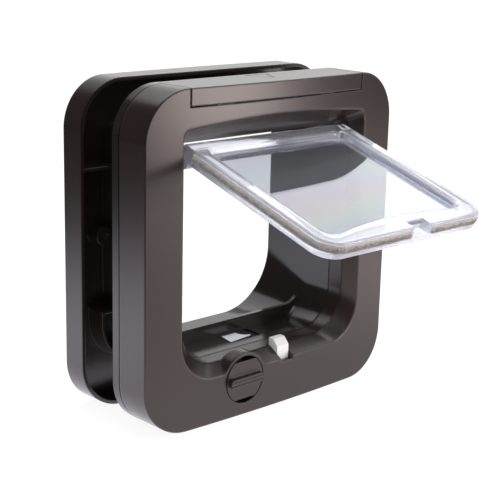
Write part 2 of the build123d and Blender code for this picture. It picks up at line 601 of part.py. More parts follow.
# Circuit board with its parts and screws
with BuildPart() as circuit_board:
    block((BOARD_LEFT, BOARD_FACE, BOARD_FOOT), (BOARD_RIGHT, BOARD_REAR, BOARD_TOP))
    fillet(circuit_board.edges().filter_by(Axis.Y), BOARD_SHEET / 2)
    for x, z in BOARD_SCREW_PLACES:
        round_bar(x, z, BOARD_SCREW_RADIUS + RUNNING_GAP, BOARD_FACE, BOARD_REAR, mode=Mode.SUBTRACT)

CHIP_RISE = 1.4
CHIP_SIDE = 9.0
CAN_RADIUS = 3.0
CAN_RISE = 7.0
PLUG_RISE = 5.0
board_middle = (BOARD_TOP + BOARD_FOOT) / 2
board_reach = (BOARD_SCREW_PLACES[0][1] - BOARD_SCREW_PLACES[1][1]) / 2

with BuildPart() as board_components:
    for lift in (-1, 1):
        chip_z = board_middle + lift * board_reach / 3
        block((BOARD_SCREW_X - CHIP_SIDE / 2, BOARD_FACE - CHIP_RISE, chip_z - CHIP_SIDE / 3),
              (BOARD_SCREW_X + CHIP_SIDE / 2, BOARD_FACE, chip_z + CHIP_SIDE / 3))
    for shift in (-1, 1):
        round_bar(BOARD_SCREW_X + shift * CAN_RADIUS * 4 / 3, board_middle + board_reach * 3 / 4, CAN_RADIUS,
                  BOARD_FACE - CAN_RISE, BOARD_FACE)
    plug_top = board_middle - board_reach * 2 / 3
    block((BOARD_SCREW_X - CHIP_SIDE / 2, BOARD_FACE - PLUG_RISE, plug_top - CHIP_SIDE / 2),
          (BOARD_SCREW_X + CHIP_SIDE / 2, BOARD_FACE, plug_top))

with BuildPart() as board_screws:
    for x, z in BOARD_SCREW_PLACES:
        round_bar(x, z, BOARD_SCREW_RADIUS, BOARD_FACE, -WALL - CELL_GAP)
        round_bar(x, z, 2 * BOARD_SCREW_RADIUS, BOARD_FACE - BOARD_SCREW_RADIUS, BOARD_FACE)

# Reader coil: flat winding round the sleeve
with BuildPart() as antenna_coil:
    extrude(tunnel(COIL_BACK, COIL_OUT), amount=COIL_WIDTH)
    extrude(tunnel(COIL_BACK, WALL + SLEEVE_GAP), amount=COIL_WIDTH, mode=Mode.SUBTRACT)

# Window in the tunnel's floor
with BuildPart() as sensor_window:
    block((WINDOW_LEFT + WINDOW_GAP, WINDOW_NEAR + WINDOW_GAP, FLOOR_Z - WALL),
          (WINDOW_RIGHT - WINDOW_GAP, WINDOW_FAR - WINDOW_GAP, FLOOR_Z - WINDOW_SINK))

# Latch: white bolt with a sloped nose and a wedge foot that rides on the cam
with BuildPart() as latch:
    latch_top = FLOOR_Z + LATCH_RISE
    latch_shoulder = latch_top - LATCH_NOSE
    with BuildSketch(Plane.YZ.offset(LATCH_X)):
        with BuildLine():
            Polyline(
                (FRONT, LATCH_FOOT),
                (FRONT, latch_shoulder),
                (FRONT + LATCH_SLOPE, latch_top),
                (LATCH_BACK, latch_top),
                (LATCH_BACK, GUIDE_FOOT),
                (STEM_BACK, GUIDE_FOOT),
                (STEM_BACK, LATCH_FOOT),
                (FRONT, LATCH_FOOT),
            )
        make_face()
    extrude(amount=LATCH_WIDTH / 2, both=True)
    fillet(latch.edges().filter_by(Axis.X).group_by(Axis.Z)[-1].sort_by(Axis.Y)[0], LATCH_SLOPE / 3)
    foot_sides = latch.edges().filter_by(Axis.Y).group_by(Axis.Z)[0]
    chamfer(foot_sides, LATCH_WIDTH / 2 - 2 * LATCH_GAP)

# Cam: a spiral that lifts the latch in step with its turn, with its shaft into the gearbox
CAM_STEPS = 9
CAM_DWELL = 15.0


def cam_point(turn, radius):
    """Point of the cam's rim that comes to the top after the given turn."""
    angle = math.radians(turn)
    return (LATCH_X - radius * math.sin(angle), CAM_Z + radius * math.cos(angle))


with BuildPart() as latch_cam:
    with BuildSketch(upright(CAM_BACK)):
        rise = []
        for step in range(CAM_STEPS + 1):
            share = step / CAM_STEPS
            rise.append(cam_point(share * CAM_TURN, CAM_LOW + share * LATCH_TRAVEL))
        with BuildLine():
            Spline(*rise)
            Line(rise[-1], cam_point(-CAM_DWELL, CAM_LOW))
            ThreePointArc(cam_point(-CAM_DWELL, CAM_LOW), cam_point(-CAM_DWELL / 2, CAM_LOW), rise[0])
        make_face()
    extrude(amount=CAM_WIDTH)
    round_bar(LATCH_X, CAM_Z, SHAFT_RADIUS, CAM_BACK - CUT_SPARE, GEARBOX_BACK - CUT_SPARE)

with BuildPart() as latch_motor:
    round_bar(LATCH_X, CAM_Z, GEARBOX_RADIUS, GEARBOX_FRONT, GEARBOX_BACK)
    round_bar(LATCH_X, CAM_Z, MOTOR_RADIUS, GEARBOX_BACK, MOTOR_BACK)
    round_bar(LATCH_X, CAM_Z, SHAFT_RADIUS + RUNNING_GAP, GEARBOX_FRONT, GEARBOX_BACK - CELL_GAP,
              mode=Mode.SUBTRACT)

# Lock knob: disc with two flats and a grooved grip bar, its shaft, the cam behind it and its clip
KNOB_FACE = face_y(KNOB_X)
KNOB_BACK = KNOB_FACE + KNOB_THICKNESS
KNOB_CAM_FRONT = KNOB_BOSS_END + KNOB_GAP
KNOB_CAM_WIDTH = 4.0
KNOB_CAM_BACK = KNOB_CAM_FRONT + KNOB_CAM_WIDTH
CLIP_SHEET = 0.8
CLIP_GROOVE = 0.5
CLIP_FRONT = KNOB_CAM_BACK + RUNNING_GAP
SHAFT_END = CLIP_FRONT + CLIP_SHEET + 2 * CLIP_GROOVE
CAM_LOBE = 4.5
GROOVE_WIDTH = 1.2
GROOVE_DEPTH = 0.6

with BuildPart() as lock_knob:
    with BuildSketch(upright(KNOB_BACK)):
        with Locations((KNOB_X, KNOB_Z)):
            Circle(KNOB_RADIUS)
            Rectangle(2 * KNOB_RADIUS, 2 * KNOB_FLAT, mode=Mode.INTERSECT)
    extrude(amount=KNOB_THICKNESS)
    with BuildSketch(upright(KNOB_FACE + KNOB_GAP)):
        with Locations((KNOB_X, KNOB_Z)):
            SlotOverall(GRIP_LENGTH, GRIP_WIDTH)
    extrude(amount=GRIP_HEIGHT + KNOB_GAP, taper=8)
    for side in (-1, 1):
        groove_z = KNOB_Z + side * GROOVE_WIDTH
        block((KNOB_X - KNOB_RADIUS, KNOB_FACE - GRIP_HEIGHT - CUT_SPARE, groove_z - GROOVE_WIDTH / 3),
              (KNOB_X + KNOB_RADIUS, KNOB_FACE - GRIP_HEIGHT + GROOVE_DEPTH, groove_z + GROOVE_WIDTH / 3),
              mode=Mode.SUBTRACT)
    round_bar(KNOB_X, KNOB_Z, KNOB_SHAFT, KNOB_BACK - CUT_SPARE, SHAFT_END)
    round_bar(KNOB_X, KNOB_Z, KNOB_BOSS_RADIUS, KNOB_BACK - CUT_SPARE, CUP_FLOOR - KNOB_GAP)
    with BuildSketch(upright(CLIP_FRONT + CLIP_SHEET + RUNNING_GAP)):
        with Locations((KNOB_X, KNOB_Z)):
            Circle(KNOB_SHAFT + CUT_SPARE)
            Circle(KNOB_SHAFT - CLIP_GROOVE, mode=Mode.SUBTRACT)
    extrude(amount=CLIP_SHEET + RUNNING_GAP, mode=Mode.SUBTRACT)

with BuildPart() as knob_cam:
    with BuildSketch(upright(KNOB_CAM_BACK)):
        with Locations((KNOB_X, KNOB_Z)):
            Circle(KNOB_BOSS_RADIUS)
            SlotCenterToCenter(CAM_LOBE, KNOB_BOSS_RADIUS * 3 / 2)
            Circle(KNOB_SHAFT + RUNNING_GAP, mode=Mode.SUBTRACT)
    extrude(amount=KNOB_CAM_WIDTH)

with BuildPart() as knob_clip:
    with BuildSketch(upright(CLIP_FRONT + CLIP_SHEET)):
        with Locations((KNOB_X, KNOB_Z)):
            Circle(KNOB_BOSS_RADIUS - CUT_SPARE)
            Circle(KNOB_SHAFT - CLIP_GROOVE + RUNNING_GAP, mode=Mode.SUBTRACT)
        with Locations((KNOB_X, KNOB_Z - KNOB_BOSS_RADIUS / 2)):
            Rectangle(KNOB_SHAFT, KNOB_BOSS_RADIUS, mode=Mode.SUBTRACT)
    extrude(amount=CLIP_SHEET)


# Flap: one clear moulding with a hinge rail, a raised border, a thin pane, brush grooves and the pocket
def flap_outline(y, inset=0.0):
    """Outline of the shut flap, drawn in by inset at its two sides and its foot."""
    half = FLAP_HALF - inset
    foot = FLAP_FOOT_Z + inset
    with BuildSketch(upright(y)) as outline:
        with Locations((0, (PIVOT_Z + foot) / 2)):
            Rectangle(2 * half, PIVOT_Z - foot)
        fillet(outline.vertices().group_by(Axis.Y)[0], radius=FLAP_CORNER - inset)
    return outline.sketch


def pane_outline(y):
    """Outline of the recessed pane, whose foot is arched up in the middle."""
    half = FLAP_HALF - FLAP_BORDER
    top = PIVOT_Z - PANE_TOP
    foot = FLAP_FOOT_Z + PANE_FOOT
    with BuildSketch(upright(y)) as outline:
        with BuildLine():
            Polyline((-half, foot), (-half, top), (half, top), (half, foot))
            ThreePointArc((half, foot), (0, foot + PANE_ARCH), (-half, foot))
        make_face()
        fillet(outline.vertices(), radius=PANE_CORNER)
    return outline.sketch


BRUSH_NEAR = FLAP_ROOM_Y + BRUSH_FROM_FACE
BRUSH_FAR = BRUSH_NEAR + BRUSH_WIDTH
PANE_SINK = (FLAP_THICKNESS - PANE_THICKNESS) / 2
STRIKER_LEFT = LATCH_X + STRIKER_SHIFT - STRIKER_WIDTH / 2
STRIKER_RIGHT = STRIKER_LEFT + STRIKER_WIDTH
POCKET_LEFT = STRIKER_LEFT + CUT_SPARE
POCKET_RIGHT = STRIKER_RIGHT - CUT_SPARE
POCKET_BACK = LATCH_BACK + POCKET_GAP

with BuildPart() as brush_loop:
    extrude(flap_outline(BRUSH_FAR), amount=BRUSH_WIDTH)
    extrude(flap_outline(BRUSH_FAR, BRUSH_DEPTH), amount=BRUSH_WIDTH, mode=Mode.SUBTRACT)
    block((-HALF_FRAME, FLAP_ROOM_Y, PIVOT_Z - BRUSH_TOP), (HALF_FRAME, FLAP_FAR_Y, TOP), mode=Mode.SUBTRACT)
    block((STRIKER_LEFT, FLAP_ROOM_Y, FLAP_FOOT_Z - CUT_SPARE),
          (STRIKER_RIGHT, FLAP_FAR_Y, FLAP_FOOT_Z + FLAP_BORDER), mode=Mode.SUBTRACT)

with BuildPart() as flap_panel:
    extrude(flap_outline(FLAP_FAR_Y), amount=FLAP_THICKNESS)
    for face_plane in (FLAP_ROOM_Y, FLAP_FAR_Y):
        edges = flap_panel.edges().filter_by_position(Axis.Y, face_plane, face_plane)
        fillet(edges.filter_by_position(Axis.Z, FLAP_FOOT_Z, PIVOT_Z - CUT_SPARE), radius=FLAP_EDGE)
    for face_plane, sink_plane in ((FLAP_ROOM_Y, FLAP_ROOM_Y + PANE_SINK), (FLAP_FAR_Y, FLAP_FAR_Y)):
        extrude(pane_outline(sink_plane), amount=PANE_SINK, mode=Mode.SUBTRACT)
        rim = flap_panel.faces().filter_by(Axis.Y).sort_by(lambda face: abs(face.center().Y - face_plane))[0]
        fillet(rim.inner_wires()[0].edges(), radius=RIM_ROUND)
    cross_bar(PIVOT_Y, PIVOT_Z, RAIL_RADIUS, -FLAP_HALF, FLAP_HALF)
    add(brush_loop.part, mode=Mode.SUBTRACT)
    block((POCKET_LEFT, FLAP_ROOM_Y - CUT_SPARE, FLAP_FOOT_Z - CUT_SPARE),
          (POCKET_RIGHT, POCKET_BACK, FLAP_FOOT_Z + POCKET_HEIGHT), mode=Mode.SUBTRACT)
    cross_bar(PIVOT_Y, PIVOT_Z, STUB_RADIUS, -BUSH_SEAT_X, BUSH_SEAT_X)

with BuildPart() as brush_left:
    add(brush_loop.part)
    block((-HALF_FRAME, APEX, BOTTOM), (STRIKER_LEFT + CUT_SPARE, 0, TOP), mode=Mode.INTERSECT)

with BuildPart() as brush_right:
    add(brush_loop.part)
    block((STRIKER_RIGHT - CUT_SPARE, APEX, BOTTOM), (HALF_FRAME, 0, TOP), mode=Mode.INTERSECT)

# Bushes of the flap's hinge, flanged behind the side walls
bushes = []
for side in (-1, 1):
    with BuildPart() as bush:
        barrel = sorted((side * TUNNEL_HALF, side * BUSH_END_X))
        flange = sorted((side * BUSH_SEAT_X, side * BUSH_END_X))
        cross_bar(PIVOT_Y, PIVOT_Z, BUSH_SEAT_RADIUS - RUNNING_GAP, barrel[0], barrel[1])
        cross_bar(PIVOT_Y, PIVOT_Z, BUSH_SEAT_RADIUS + BUSH_WALL, flange[0], flange[1])
        cross_bar(PIVOT_Y, PIVOT_Z, STUB_RADIUS + RUNNING_GAP, barrel[0], barrel[1], mode=Mode.SUBTRACT)
    bushes.append(bush.part)

# Case screws, from the rear cover into the housing's bosses
with BuildPart() as case_screws:
    for x, z in CASE_SCREW_PLACES:
        round_bar(x, z, CASE_SCREW_RADIUS, -CASE_HEAD_DEPTH - CASE_SCREW_LENGTH, -CASE_HEAD_DEPTH)
        round_bar(x, z, CASE_HEAD_RADIUS, -CASE_HEAD_DEPTH, -CELL_GAP)

# Exterior frame: bowed shell, open towards the door, with a collar round the sleeve, bosses and ribs
COLLAR_IN = WALL + COLLAR_GAP
COLLAR_OUT = COLLAR_IN + WALL
COLLAR_FRONT = DOOR_GAP + 2.0
RIB_SHEET = 2.0
UPPER_RIB_Z = HEADER_Z - 20.3
SCOOP_HALF = TUNNEL_HALF + COLLAR_OUT + 11.6
SCOOP_FOOT = FLOOR_Z - 9.5
SCOOP_TOP = FLOOR_Z + 27.0
SCOOP_CORNER = 28.0
EXTERIOR_HEAD_RADIUS = 4.0
EXTERIOR_HEAD_DEPTH = 1.2
EXTERIOR_BOSS_FRONT = DOOR_GAP + 6.0

with BuildPart() as exterior_hollow:
    extrude(frame_outline(EXTERIOR_APEX, WALL), amount=EXTERIOR_APEX - DOOR_GAP + CUT_SPARE)
    extrude(bow_plan(EXTERIOR_EDGE - WALL, -EXTERIOR_BOW, DOOR_GAP - CUT_SPARE), amount=BOW_HEIGHT,
            mode=Mode.INTERSECT)
    tunnel_run(COLLAR_FRONT, EXTERIOR_APEX, COLLAR_OUT, mode=Mode.SUBTRACT)


def scoop_outline(y, inset):
    """Outline of the drip scoop under the collar, open at its top."""
    half = SCOOP_HALF - inset
    foot = SCOOP_FOOT + inset
    rise = SCOOP_TOP + inset
    with BuildSketch(upright(y)) as outline:
        with Locations((0, (foot + rise) / 2)):
            Rectangle(2 * half, rise - foot)
        fillet(outline.vertices().group_by(Axis.Y)[0], radius=SCOOP_CORNER - inset)
    return outline.sketch


RIB_REACH = EXTERIOR_APEX - COLLAR_FRONT

with BuildPart() as exterior_ribs:
    extrude(scoop_outline(EXTERIOR_APEX, 0.0), amount=RIB_REACH)
    extrude(scoop_outline(EXTERIOR_APEX, RIB_SHEET), amount=RIB_REACH, mode=Mode.SUBTRACT)
    block((-SCOOP_HALF, COLLAR_FRONT, SCOOP_TOP - RIB_SHEET), (SCOOP_HALF, EXTERIOR_APEX, SCOOP_TOP))
    block((-HALF_FRAME + WALL / 2, COLLAR_FRONT, UPPER_RIB_Z),
          (HALF_FRAME - WALL / 2, EXTERIOR_APEX, UPPER_RIB_Z + RIB_SHEET))
    tunnel_run(COLLAR_FRONT, EXTERIOR_APEX, COLLAR_OUT - WALL / 2, mode=Mode.SUBTRACT)
    for x, z in DOOR_SCREW_PLACES:
        round_bar(x, z, EXTERIOR_BOSS_RADIUS, EXTERIOR_BOSS_FRONT, EXTERIOR_APEX)
    extrude(bow_plan(EXTERIOR_EDGE - WALL / 2, -EXTERIOR_BOW, DOOR_GAP), amount=BOW_HEIGHT,
            mode=Mode.INTERSECT)

with BuildPart() as exterior_frame:
    extrude(frame_outline(EXTERIOR_APEX), amount=EXTERIOR_APEX - DOOR_GAP)
    extrude(bow_plan(EXTERIOR_EDGE, -EXTERIOR_BOW, DOOR_GAP), amount=BOW_HEIGHT, mode=Mode.INTERSECT)
    chamfer(exterior_frame.faces().sort_by(Axis.Y)[-1].edges(), EDGE_BEVEL)
    add(exterior_hollow.part, mode=Mode.SUBTRACT)
    tunnel_run(DOOR_GAP - CUT_SPARE, EXTERIOR_APEX + CUT_SPARE, COLLAR_IN, mode=Mode.SUBTRACT)
    add(exterior_ribs.part)
    for x, z in DOOR_SCREW_PLACES:
        round_bar(x, z, DOOR_SCREW_RADIUS + COLLAR_GAP, DOOR_GAP, EXTERIOR_APEX, mode=Mode.SUBTRACT)
        round_bar(x, z, EXTERIOR_HEAD_RADIUS, EXTERIOR_EDGE - EXTERIOR_HEAD_DEPTH, EXTERIOR_APEX + CUT_SPARE,
                  mode=Mode.SUBTRACT)


def turned_open(piece):
    """The piece, turned from the shut flap to where the flap stands open."""
    return piece.rotate(HINGE_LINE, -FLAP_OPEN_ANGLE)


pieces = {
    "front_housing": front_housing.part,
    "rear_cover": rear_cover.part,
    "battery_cover": battery_cover.part,
    "battery_contacts": battery_contacts.part,
    "circuit_board": circuit_board.part,
    "board_components": board_components.part,
    "board_screws": board_screws.part,
    "antenna_coil": antenna_coil.part,
    "sensor_window": sensor_window.part,
    "memory_button": memory_button.part,
    "button_switch": button_switch.part,
    "latch": latch.part,
    "latch_cam": latch_cam.part,
    "latch_motor": latch_motor.part,
    "lock_knob": lock_knob.part,
    "knob_cam": knob_cam.part,
    "knob_clip": knob_clip.part,
    "flap_panel": turned_open(flap_panel.part),
    "brush_left": turned_open(brush_left.part),
    "brush_right": turned_open(brush_right.part),
    "pivot_bush_left": bushes[0],
    "pivot_bush_right": bushes[1],
    "case_screws": case_screws.part,
    "exterior_frame": exterior_frame.part,
}
for number, cell_part in enumerate(cells, start=1):
    pieces[f"battery_{number}"] = cell_part

os.makedirs("parts", exist_ok=True)
for name, piece in pieces.items():
    piece.label = name
    export_step(piece, f"parts/{name}.step")
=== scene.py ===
import json
import math

import bpy
from bpy.props import FloatProperty, FloatVectorProperty, PointerProperty
from mathutils import Matrix, Vector


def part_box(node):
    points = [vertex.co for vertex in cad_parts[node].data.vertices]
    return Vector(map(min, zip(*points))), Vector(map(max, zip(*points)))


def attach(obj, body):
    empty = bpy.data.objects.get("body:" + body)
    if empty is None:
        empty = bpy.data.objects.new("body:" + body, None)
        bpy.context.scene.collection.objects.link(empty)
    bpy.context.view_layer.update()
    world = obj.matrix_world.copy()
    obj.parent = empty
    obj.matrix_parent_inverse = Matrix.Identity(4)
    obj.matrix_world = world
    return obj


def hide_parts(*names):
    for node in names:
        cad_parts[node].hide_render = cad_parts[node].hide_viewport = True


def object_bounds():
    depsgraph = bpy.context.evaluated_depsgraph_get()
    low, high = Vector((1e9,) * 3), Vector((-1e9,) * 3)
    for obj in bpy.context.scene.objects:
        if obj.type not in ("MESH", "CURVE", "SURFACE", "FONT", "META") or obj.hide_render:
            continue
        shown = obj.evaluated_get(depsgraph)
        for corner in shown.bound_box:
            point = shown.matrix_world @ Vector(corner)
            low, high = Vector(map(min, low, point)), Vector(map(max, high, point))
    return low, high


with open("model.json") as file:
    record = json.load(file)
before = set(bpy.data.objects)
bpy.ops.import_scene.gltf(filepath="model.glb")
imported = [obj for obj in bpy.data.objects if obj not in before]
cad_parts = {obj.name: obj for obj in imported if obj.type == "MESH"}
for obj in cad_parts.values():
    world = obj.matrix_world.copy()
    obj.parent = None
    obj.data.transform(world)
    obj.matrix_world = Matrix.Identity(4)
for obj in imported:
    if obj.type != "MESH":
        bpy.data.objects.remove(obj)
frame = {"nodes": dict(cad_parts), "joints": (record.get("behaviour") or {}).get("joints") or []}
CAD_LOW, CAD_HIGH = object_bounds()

bl_info = {
    "name": "Cat flap dressing",
    "version": (1, 0, 0),
    "blender": (4, 5, 0),
    "location": "3D View > Sidebar > Cat flap",
    "description": "Finishes, brush pile, screws and studio for a door-mounted cat flap with a clear flap",
    "category": "Object",
}

MM = 0.001
NODES = frame["nodes"]
JOINTS = {joint["name"]: joint for joint in frame["joints"]}
FLAP_HINGE = Vector(JOINTS["flap_swing"]["pos_m"])
FLOOR_HEIGHT = CAD_LOW.z
WHITE = (1.0, 1.0, 1.0, 1.0)


def linear(colour):
    """Scene-linear red, green, blue and alpha of an sRGB hex colour."""
    channels = [int(colour[place:place + 2], 16) / 255 for place in (1, 3, 5)]
    return tuple(c / 12.92 if c <= 0.04045 else ((c + 0.055) / 1.055) ** 2.4 for c in channels) + (1.0,)


def per_size(millimetres):
    """Texture scale whose pattern repeats at the given real size."""
    return 1 / (millimetres * MM)


# Sizes and colours that a user may change

def colour_property(name, description, colour):
    """Colour with its default as sRGB hex."""
    return FloatVectorProperty(name=name, description=description, subtype="COLOR", size=4,
                               min=0.0, max=1.0, default=linear(colour))


def length_property(name, description, millimetres):
    """Length with its default in millimetres."""
    return FloatProperty(name=name, description=description, unit="LENGTH", default=millimetres * MM)


def angle_property(name, description, degrees):
    """Angle with its default in degrees."""
    return FloatProperty(name=name, description=description, subtype="ANGLE", default=math.radians(degrees))


def glow_property(name, description, brightness):
    """Brightness of a light, where one is white."""
    return FloatProperty(name=name, description=description, default=brightness)


class CatFlapFinishes(bpy.types.PropertyGroup):
    """Colours of the finishes."""

    housing: colour_property("Housing", "Satin moulded shell of the two frames", "#281e1c")
    tunnel: colour_property("Tunnel", "Polished moulding of the sleeve through the door", "#241e1d")
    pane: colour_property("Pane", "Clear pane of the flap", "#ccd0d8")
    border: colour_property("Border", "Thick border of the flap", "#e9ebf3")
    # Painted shade: the rim colour is a darker line painted where the pane meets its border.
    rim: colour_property("Rim", "Line where the pane meets its border", "#9a9cc0")
    # The two pile colours are partly painted light: besides a random mottle, the lighter one is a painted
    # highlight at the front of the strips and the darker one painted shade in their core.
    pile_light_and_highlit: colour_property("Pile tips", "Lighter fibres of the draught strips", "#f4f2ef")
    pile_dark_and_shaded: colour_property("Pile roots", "Darker fibres of the draught strips", "#989592")
    latch: colour_property("Latch", "White bolt in the rim", "#faf9f7")
    window: colour_property("Sensor window", "Tinted window in the tunnel's floor", "#1b1d24")
    # Painted light: the pale patch is painted pale and made to glow, though it is no lamp.
    window_painted_light: colour_property("Window patch", "Pale lit patch of the sensor window", "#d9dde2")


class CatFlapPile(bpy.types.PropertyGroup):
    """Sizes of the draught strips in the flap's edge, on the shut flap."""

    corner: length_property("Flap corner", "Corner radius of the flap's outline", 14.0)
    drop: length_property("Strip top", "Distance from the hinge down to the top of the strips", 10.0)
    reach: length_property("Flap reach", "Distance from the hinge to the foot of the flap", 124.5)
    gap_left: length_property("Gap, left", "Left end of the gap for the latch", 0.0)
    gap_right: length_property("Gap, right", "Right end of the gap for the latch", 17.5)
    centre: length_property("Strip centre", "Middle of the strips in front of the hinge", 4.95)
    width: length_property("Strip width", "Width of the strips across the flap's edge", 4.3)
    depth: length_property("Strip depth", "Depth of the groove that holds the strips", 3.0)
    tuft: length_property("Tuft width", "Width of a tuft at its root", 0.72)
    fibre: length_property("Fibre length", "Length of the tufts from the bed to their tips", 2.1)
    splay: angle_property("Splay", "Lean of a tuft at the very edge of the strip", 36.0)
    open_angle: angle_property("Open angle", "Angle from the shut flap to the flap at rest", 72.2)


class CatFlapStudio(bpy.types.PropertyGroup):
    """Camera and lamps."""

    camera_place: FloatVectorProperty(name="Camera", description="Place of the camera",
                                      subtype="TRANSLATION", default=(-0.540633, -0.572817, 0.189117))
    camera_yaw: angle_property("Yaw", "Heading of the camera", -43.73)
    camera_pitch: angle_property("Pitch", "Tilt of the camera below the horizon", 14.498)
    camera_roll: angle_property("Roll", "Roll of the camera", 1.382)
    camera_lens: FloatProperty(name="Lens", description="Focal length on a 36 mm sensor", unit="CAMERA",
                               default=90.16)
    strip_glow: glow_property("Strip light", "Brightness of the strip at the front right", 10.5)
    roof_glow: glow_property("Roof light", "Brightness of the softbox overhead", 2.0)
    fill: glow_property("Fill", "Brightness of the light from all round", 0.75)
    floor_glow: glow_property("Floor glow", "Brightness of the lit floor, as a share", 1.0)


def finishes():
    """Colours as the scene holds them."""
    return bpy.context.scene.cat_flap_finishes


def pile_sizes():
    """Sizes of the draught strips as the scene holds them."""
    return bpy.context.scene.cat_flap_pile


# Materials

def add(tree, kind, inputs=None, **settings):
    """Adds a shader node with its settings, and fills its sockets with values or links.

    A node that is given for a socket is linked by the first of its outputs that is in use.
    """
    node = tree.nodes.new("ShaderNode" + kind)
    for name, value in settings.items():
        setattr(node, name, value)
    for name, value in (inputs or {}).items():
        if isinstance(value, bpy.types.Node):
            value = next(output for output in value.outputs if output.enabled)
        if isinstance(value, bpy.types.NodeSocket):
            tree.links.new(value, node.inputs[name])
        else:
            node.inputs[name].default_value = value
    return node


def new_material(name):
    """Empty node material, the tree to fill and the place on the object."""
    material = bpy.data.materials.new(name)
    material.use_nodes = True
    tree = material.node_tree
    tree.nodes.clear()
    place = add(tree, "TexCoord").outputs["Object"]
    return material, tree, place


def finish_material(tree, shader):
    """Links the shader to the material's output."""
    add(tree, "OutputMaterial", {"Surface": shader})


def shade(colour, factor):
    """The colour made lighter or darker by a factor."""
    return tuple(min(1.0, channel * factor) for channel in colour[:3]) + (1.0,)


def outline_distance(tree, place, corners):
    """Distance outside a convex outline seen from above, whose corners in millimetres run clockwise."""
    furthest = None
    for start, end in zip(corners, corners[1:] + corners[:1]):
        across = Vector((start[1] - end[1], end[0] - start[0], 0)).normalized()
        base = across.dot(Vector((*start, 0))) * MM
        height = add(tree, "VectorMath", {0: place, 1: across}, operation="DOT_PRODUCT")
        edge = add(tree, "Math", {0: height, 1: base}, operation="SUBTRACT")
        if furthest is not None:
            edge = add(tree, "Math", {0: furthest, 1: edge}, operation="MAXIMUM")
        furthest = edge
    return furthest


# Arrow in the top of the battery cover, in millimetres: its corners, and the half width and soft edge of the
# line of painted shade in its groove
ARROW = ((-3.5, -4.0), (13.5, -4.0), (5.0, -20.5))
LINE_CORE = 0.35
LINE_EDGE = 0.55

# Face round the opening, where the mould's edges are rounder, in millimetres: its middle and half sizes, the
# stretch over which the rounding changes, and the rounding
RIM_MIDDLE = (0.0, 0.0, -1.0)
RIM_HALF = (83.0, 0.0, 84.0)
RIM_FADE = 1.0
RIM_ROUNDING = 2.4

# Rounding of the other moulded edges, in millimetres
SHELL_ROUNDING = 1.1
KNOB_ROUNDING = 0.3

ABS_IOR = 1.53


def rim_radius(tree, place, rounding):
    """Rounding of the front housing's edges: larger round the opening, and as given along its outside."""
    from_middle = add(tree, "VectorMath", {0: place, 1: Vector(RIM_MIDDLE) * MM}, operation="SUBTRACT")
    aside = add(tree, "VectorMath", {0: from_middle}, operation="ABSOLUTE")
    past = add(tree, "VectorMath", {0: aside, 1: Vector(RIM_HALF) * MM}, operation="SUBTRACT")
    parts = add(tree, "SeparateXYZ", {"Vector": past})
    beyond = add(tree, "Math", {0: parts.outputs["X"], 1: parts.outputs["Z"]}, operation="MAXIMUM")
    return add(tree, "MapRange", {
        "Value": beyond, "From Min": -RIM_FADE * MM, "From Max": RIM_FADE * MM,
        "To Min": RIM_ROUNDING * MM, "To Max": rounding * MM})


def satin_moulded_abs(name, rounding, outline=None, rounder_rim=False):
    """ABS from a spark-eroded mould: an even satin skin, with edges round enough to catch a line of light.

    An outline is drawn in it as a dull dark line of painted shade, as in a groove, and the edges round the
    opening can be rounder.
    """
    material, tree, place = new_material(name)
    colour = tuple(finishes().housing)
    # The real grain is about 0.1 mm and is drawn at 0.4 mm, so that it shows close up.
    grain = add(tree, "TexNoise", {"Vector": place, "Scale": per_size(0.4), "Detail": 2.0})
    flow = add(tree, "TexNoise", {"Vector": place, "Scale": per_size(38.0), "Detail": 2.0})
    tint = add(tree, "Mix", {
        "Factor": flow, "A": shade(colour, 0.84), "B": shade(colour, 1.16)}, data_type="RGBA")
    gloss = add(tree, "MapRange", {"Value": grain, "To Min": 0.22, "To Max": 0.28})
    if outline:
        # Painted shade: the arrow's groove is painted as a dark, dull line.
        away = add(tree, "Math", {0: outline_distance(tree, place, outline)}, operation="ABSOLUTE")
        line = add(tree, "MapRange", {
            "Value": away, "From Min": LINE_CORE * MM, "From Max": LINE_EDGE * MM,
            "To Min": 1.0, "To Max": 0.0})
        tint = add(tree, "Mix", {"Factor": line, "A": tint, "B": shade(colour, 0.3)}, data_type="RGBA")
        gloss = add(tree, "MapRange", {"Value": line, "To Min": gloss, "To Max": 0.8})
    radius = rim_radius(tree, place, rounding) if rounder_rim else rounding * MM
    soft = add(tree, "Bevel", {"Radius": radius}, samples=6)
    skin = add(tree, "Bump", {"Height": grain, "Strength": 0.1, "Distance": 0.004 * MM, "Normal": soft})
    shader = add(tree, "BsdfPrincipled", {
        "Base Color": tint, "Roughness": gloss, "Normal": skin, "IOR": ABS_IOR})
    finish_material(tree, shader)
    return material


def polished_moulded_abs():
    """The same ABS from a polished mould: a dark skin that mirrors its surroundings a little unevenly."""
    material, tree, place = new_material("polished_moulded_abs")
    colour = tuple(finishes().tunnel)
    sink = add(tree, "TexNoise", {"Vector": place, "Scale": per_size(22.0), "Detail": 1.0})
    haze = add(tree, "TexNoise", {"Vector": place, "Scale": per_size(2.5), "Detail": 3.0})
    tint = add(tree, "Mix", {
        "Factor": sink, "A": shade(colour, 0.88), "B": shade(colour, 1.14)}, data_type="RGBA")
    gloss = add(tree, "MapRange", {"Value": haze, "To Min": 0.13, "To Max": 0.19})
    skin = add(tree, "Bump", {"Height": sink, "Strength": 0.2, "Distance": 0.1 * MM})
    shader = add(tree, "BsdfPrincipled", {
        "Base Color": tint, "Roughness": gloss, "Normal": skin, "IOR": ABS_IOR})
    finish_material(tree, shader)
    return material


# Pane of the flap, in millimetres: its top and foot from the hinge, half its width, its corners, the arch of
# its foot, and half the step between it and its border
PANE_TOP = 9.0
PANE_FOOT = 107.0
PANE_HALF = 58.2
PANE_CORNER = 7.0
PANE_ARCH = 6.5
PANE_STEP = 0.6

# Hinge rail above the pane: its edge in millimetres, and the strength of its streaks
RAIL_EDGE = 1.0
RAIL_STREAKS = 0.5

COPOLYESTER_IOR = 1.57


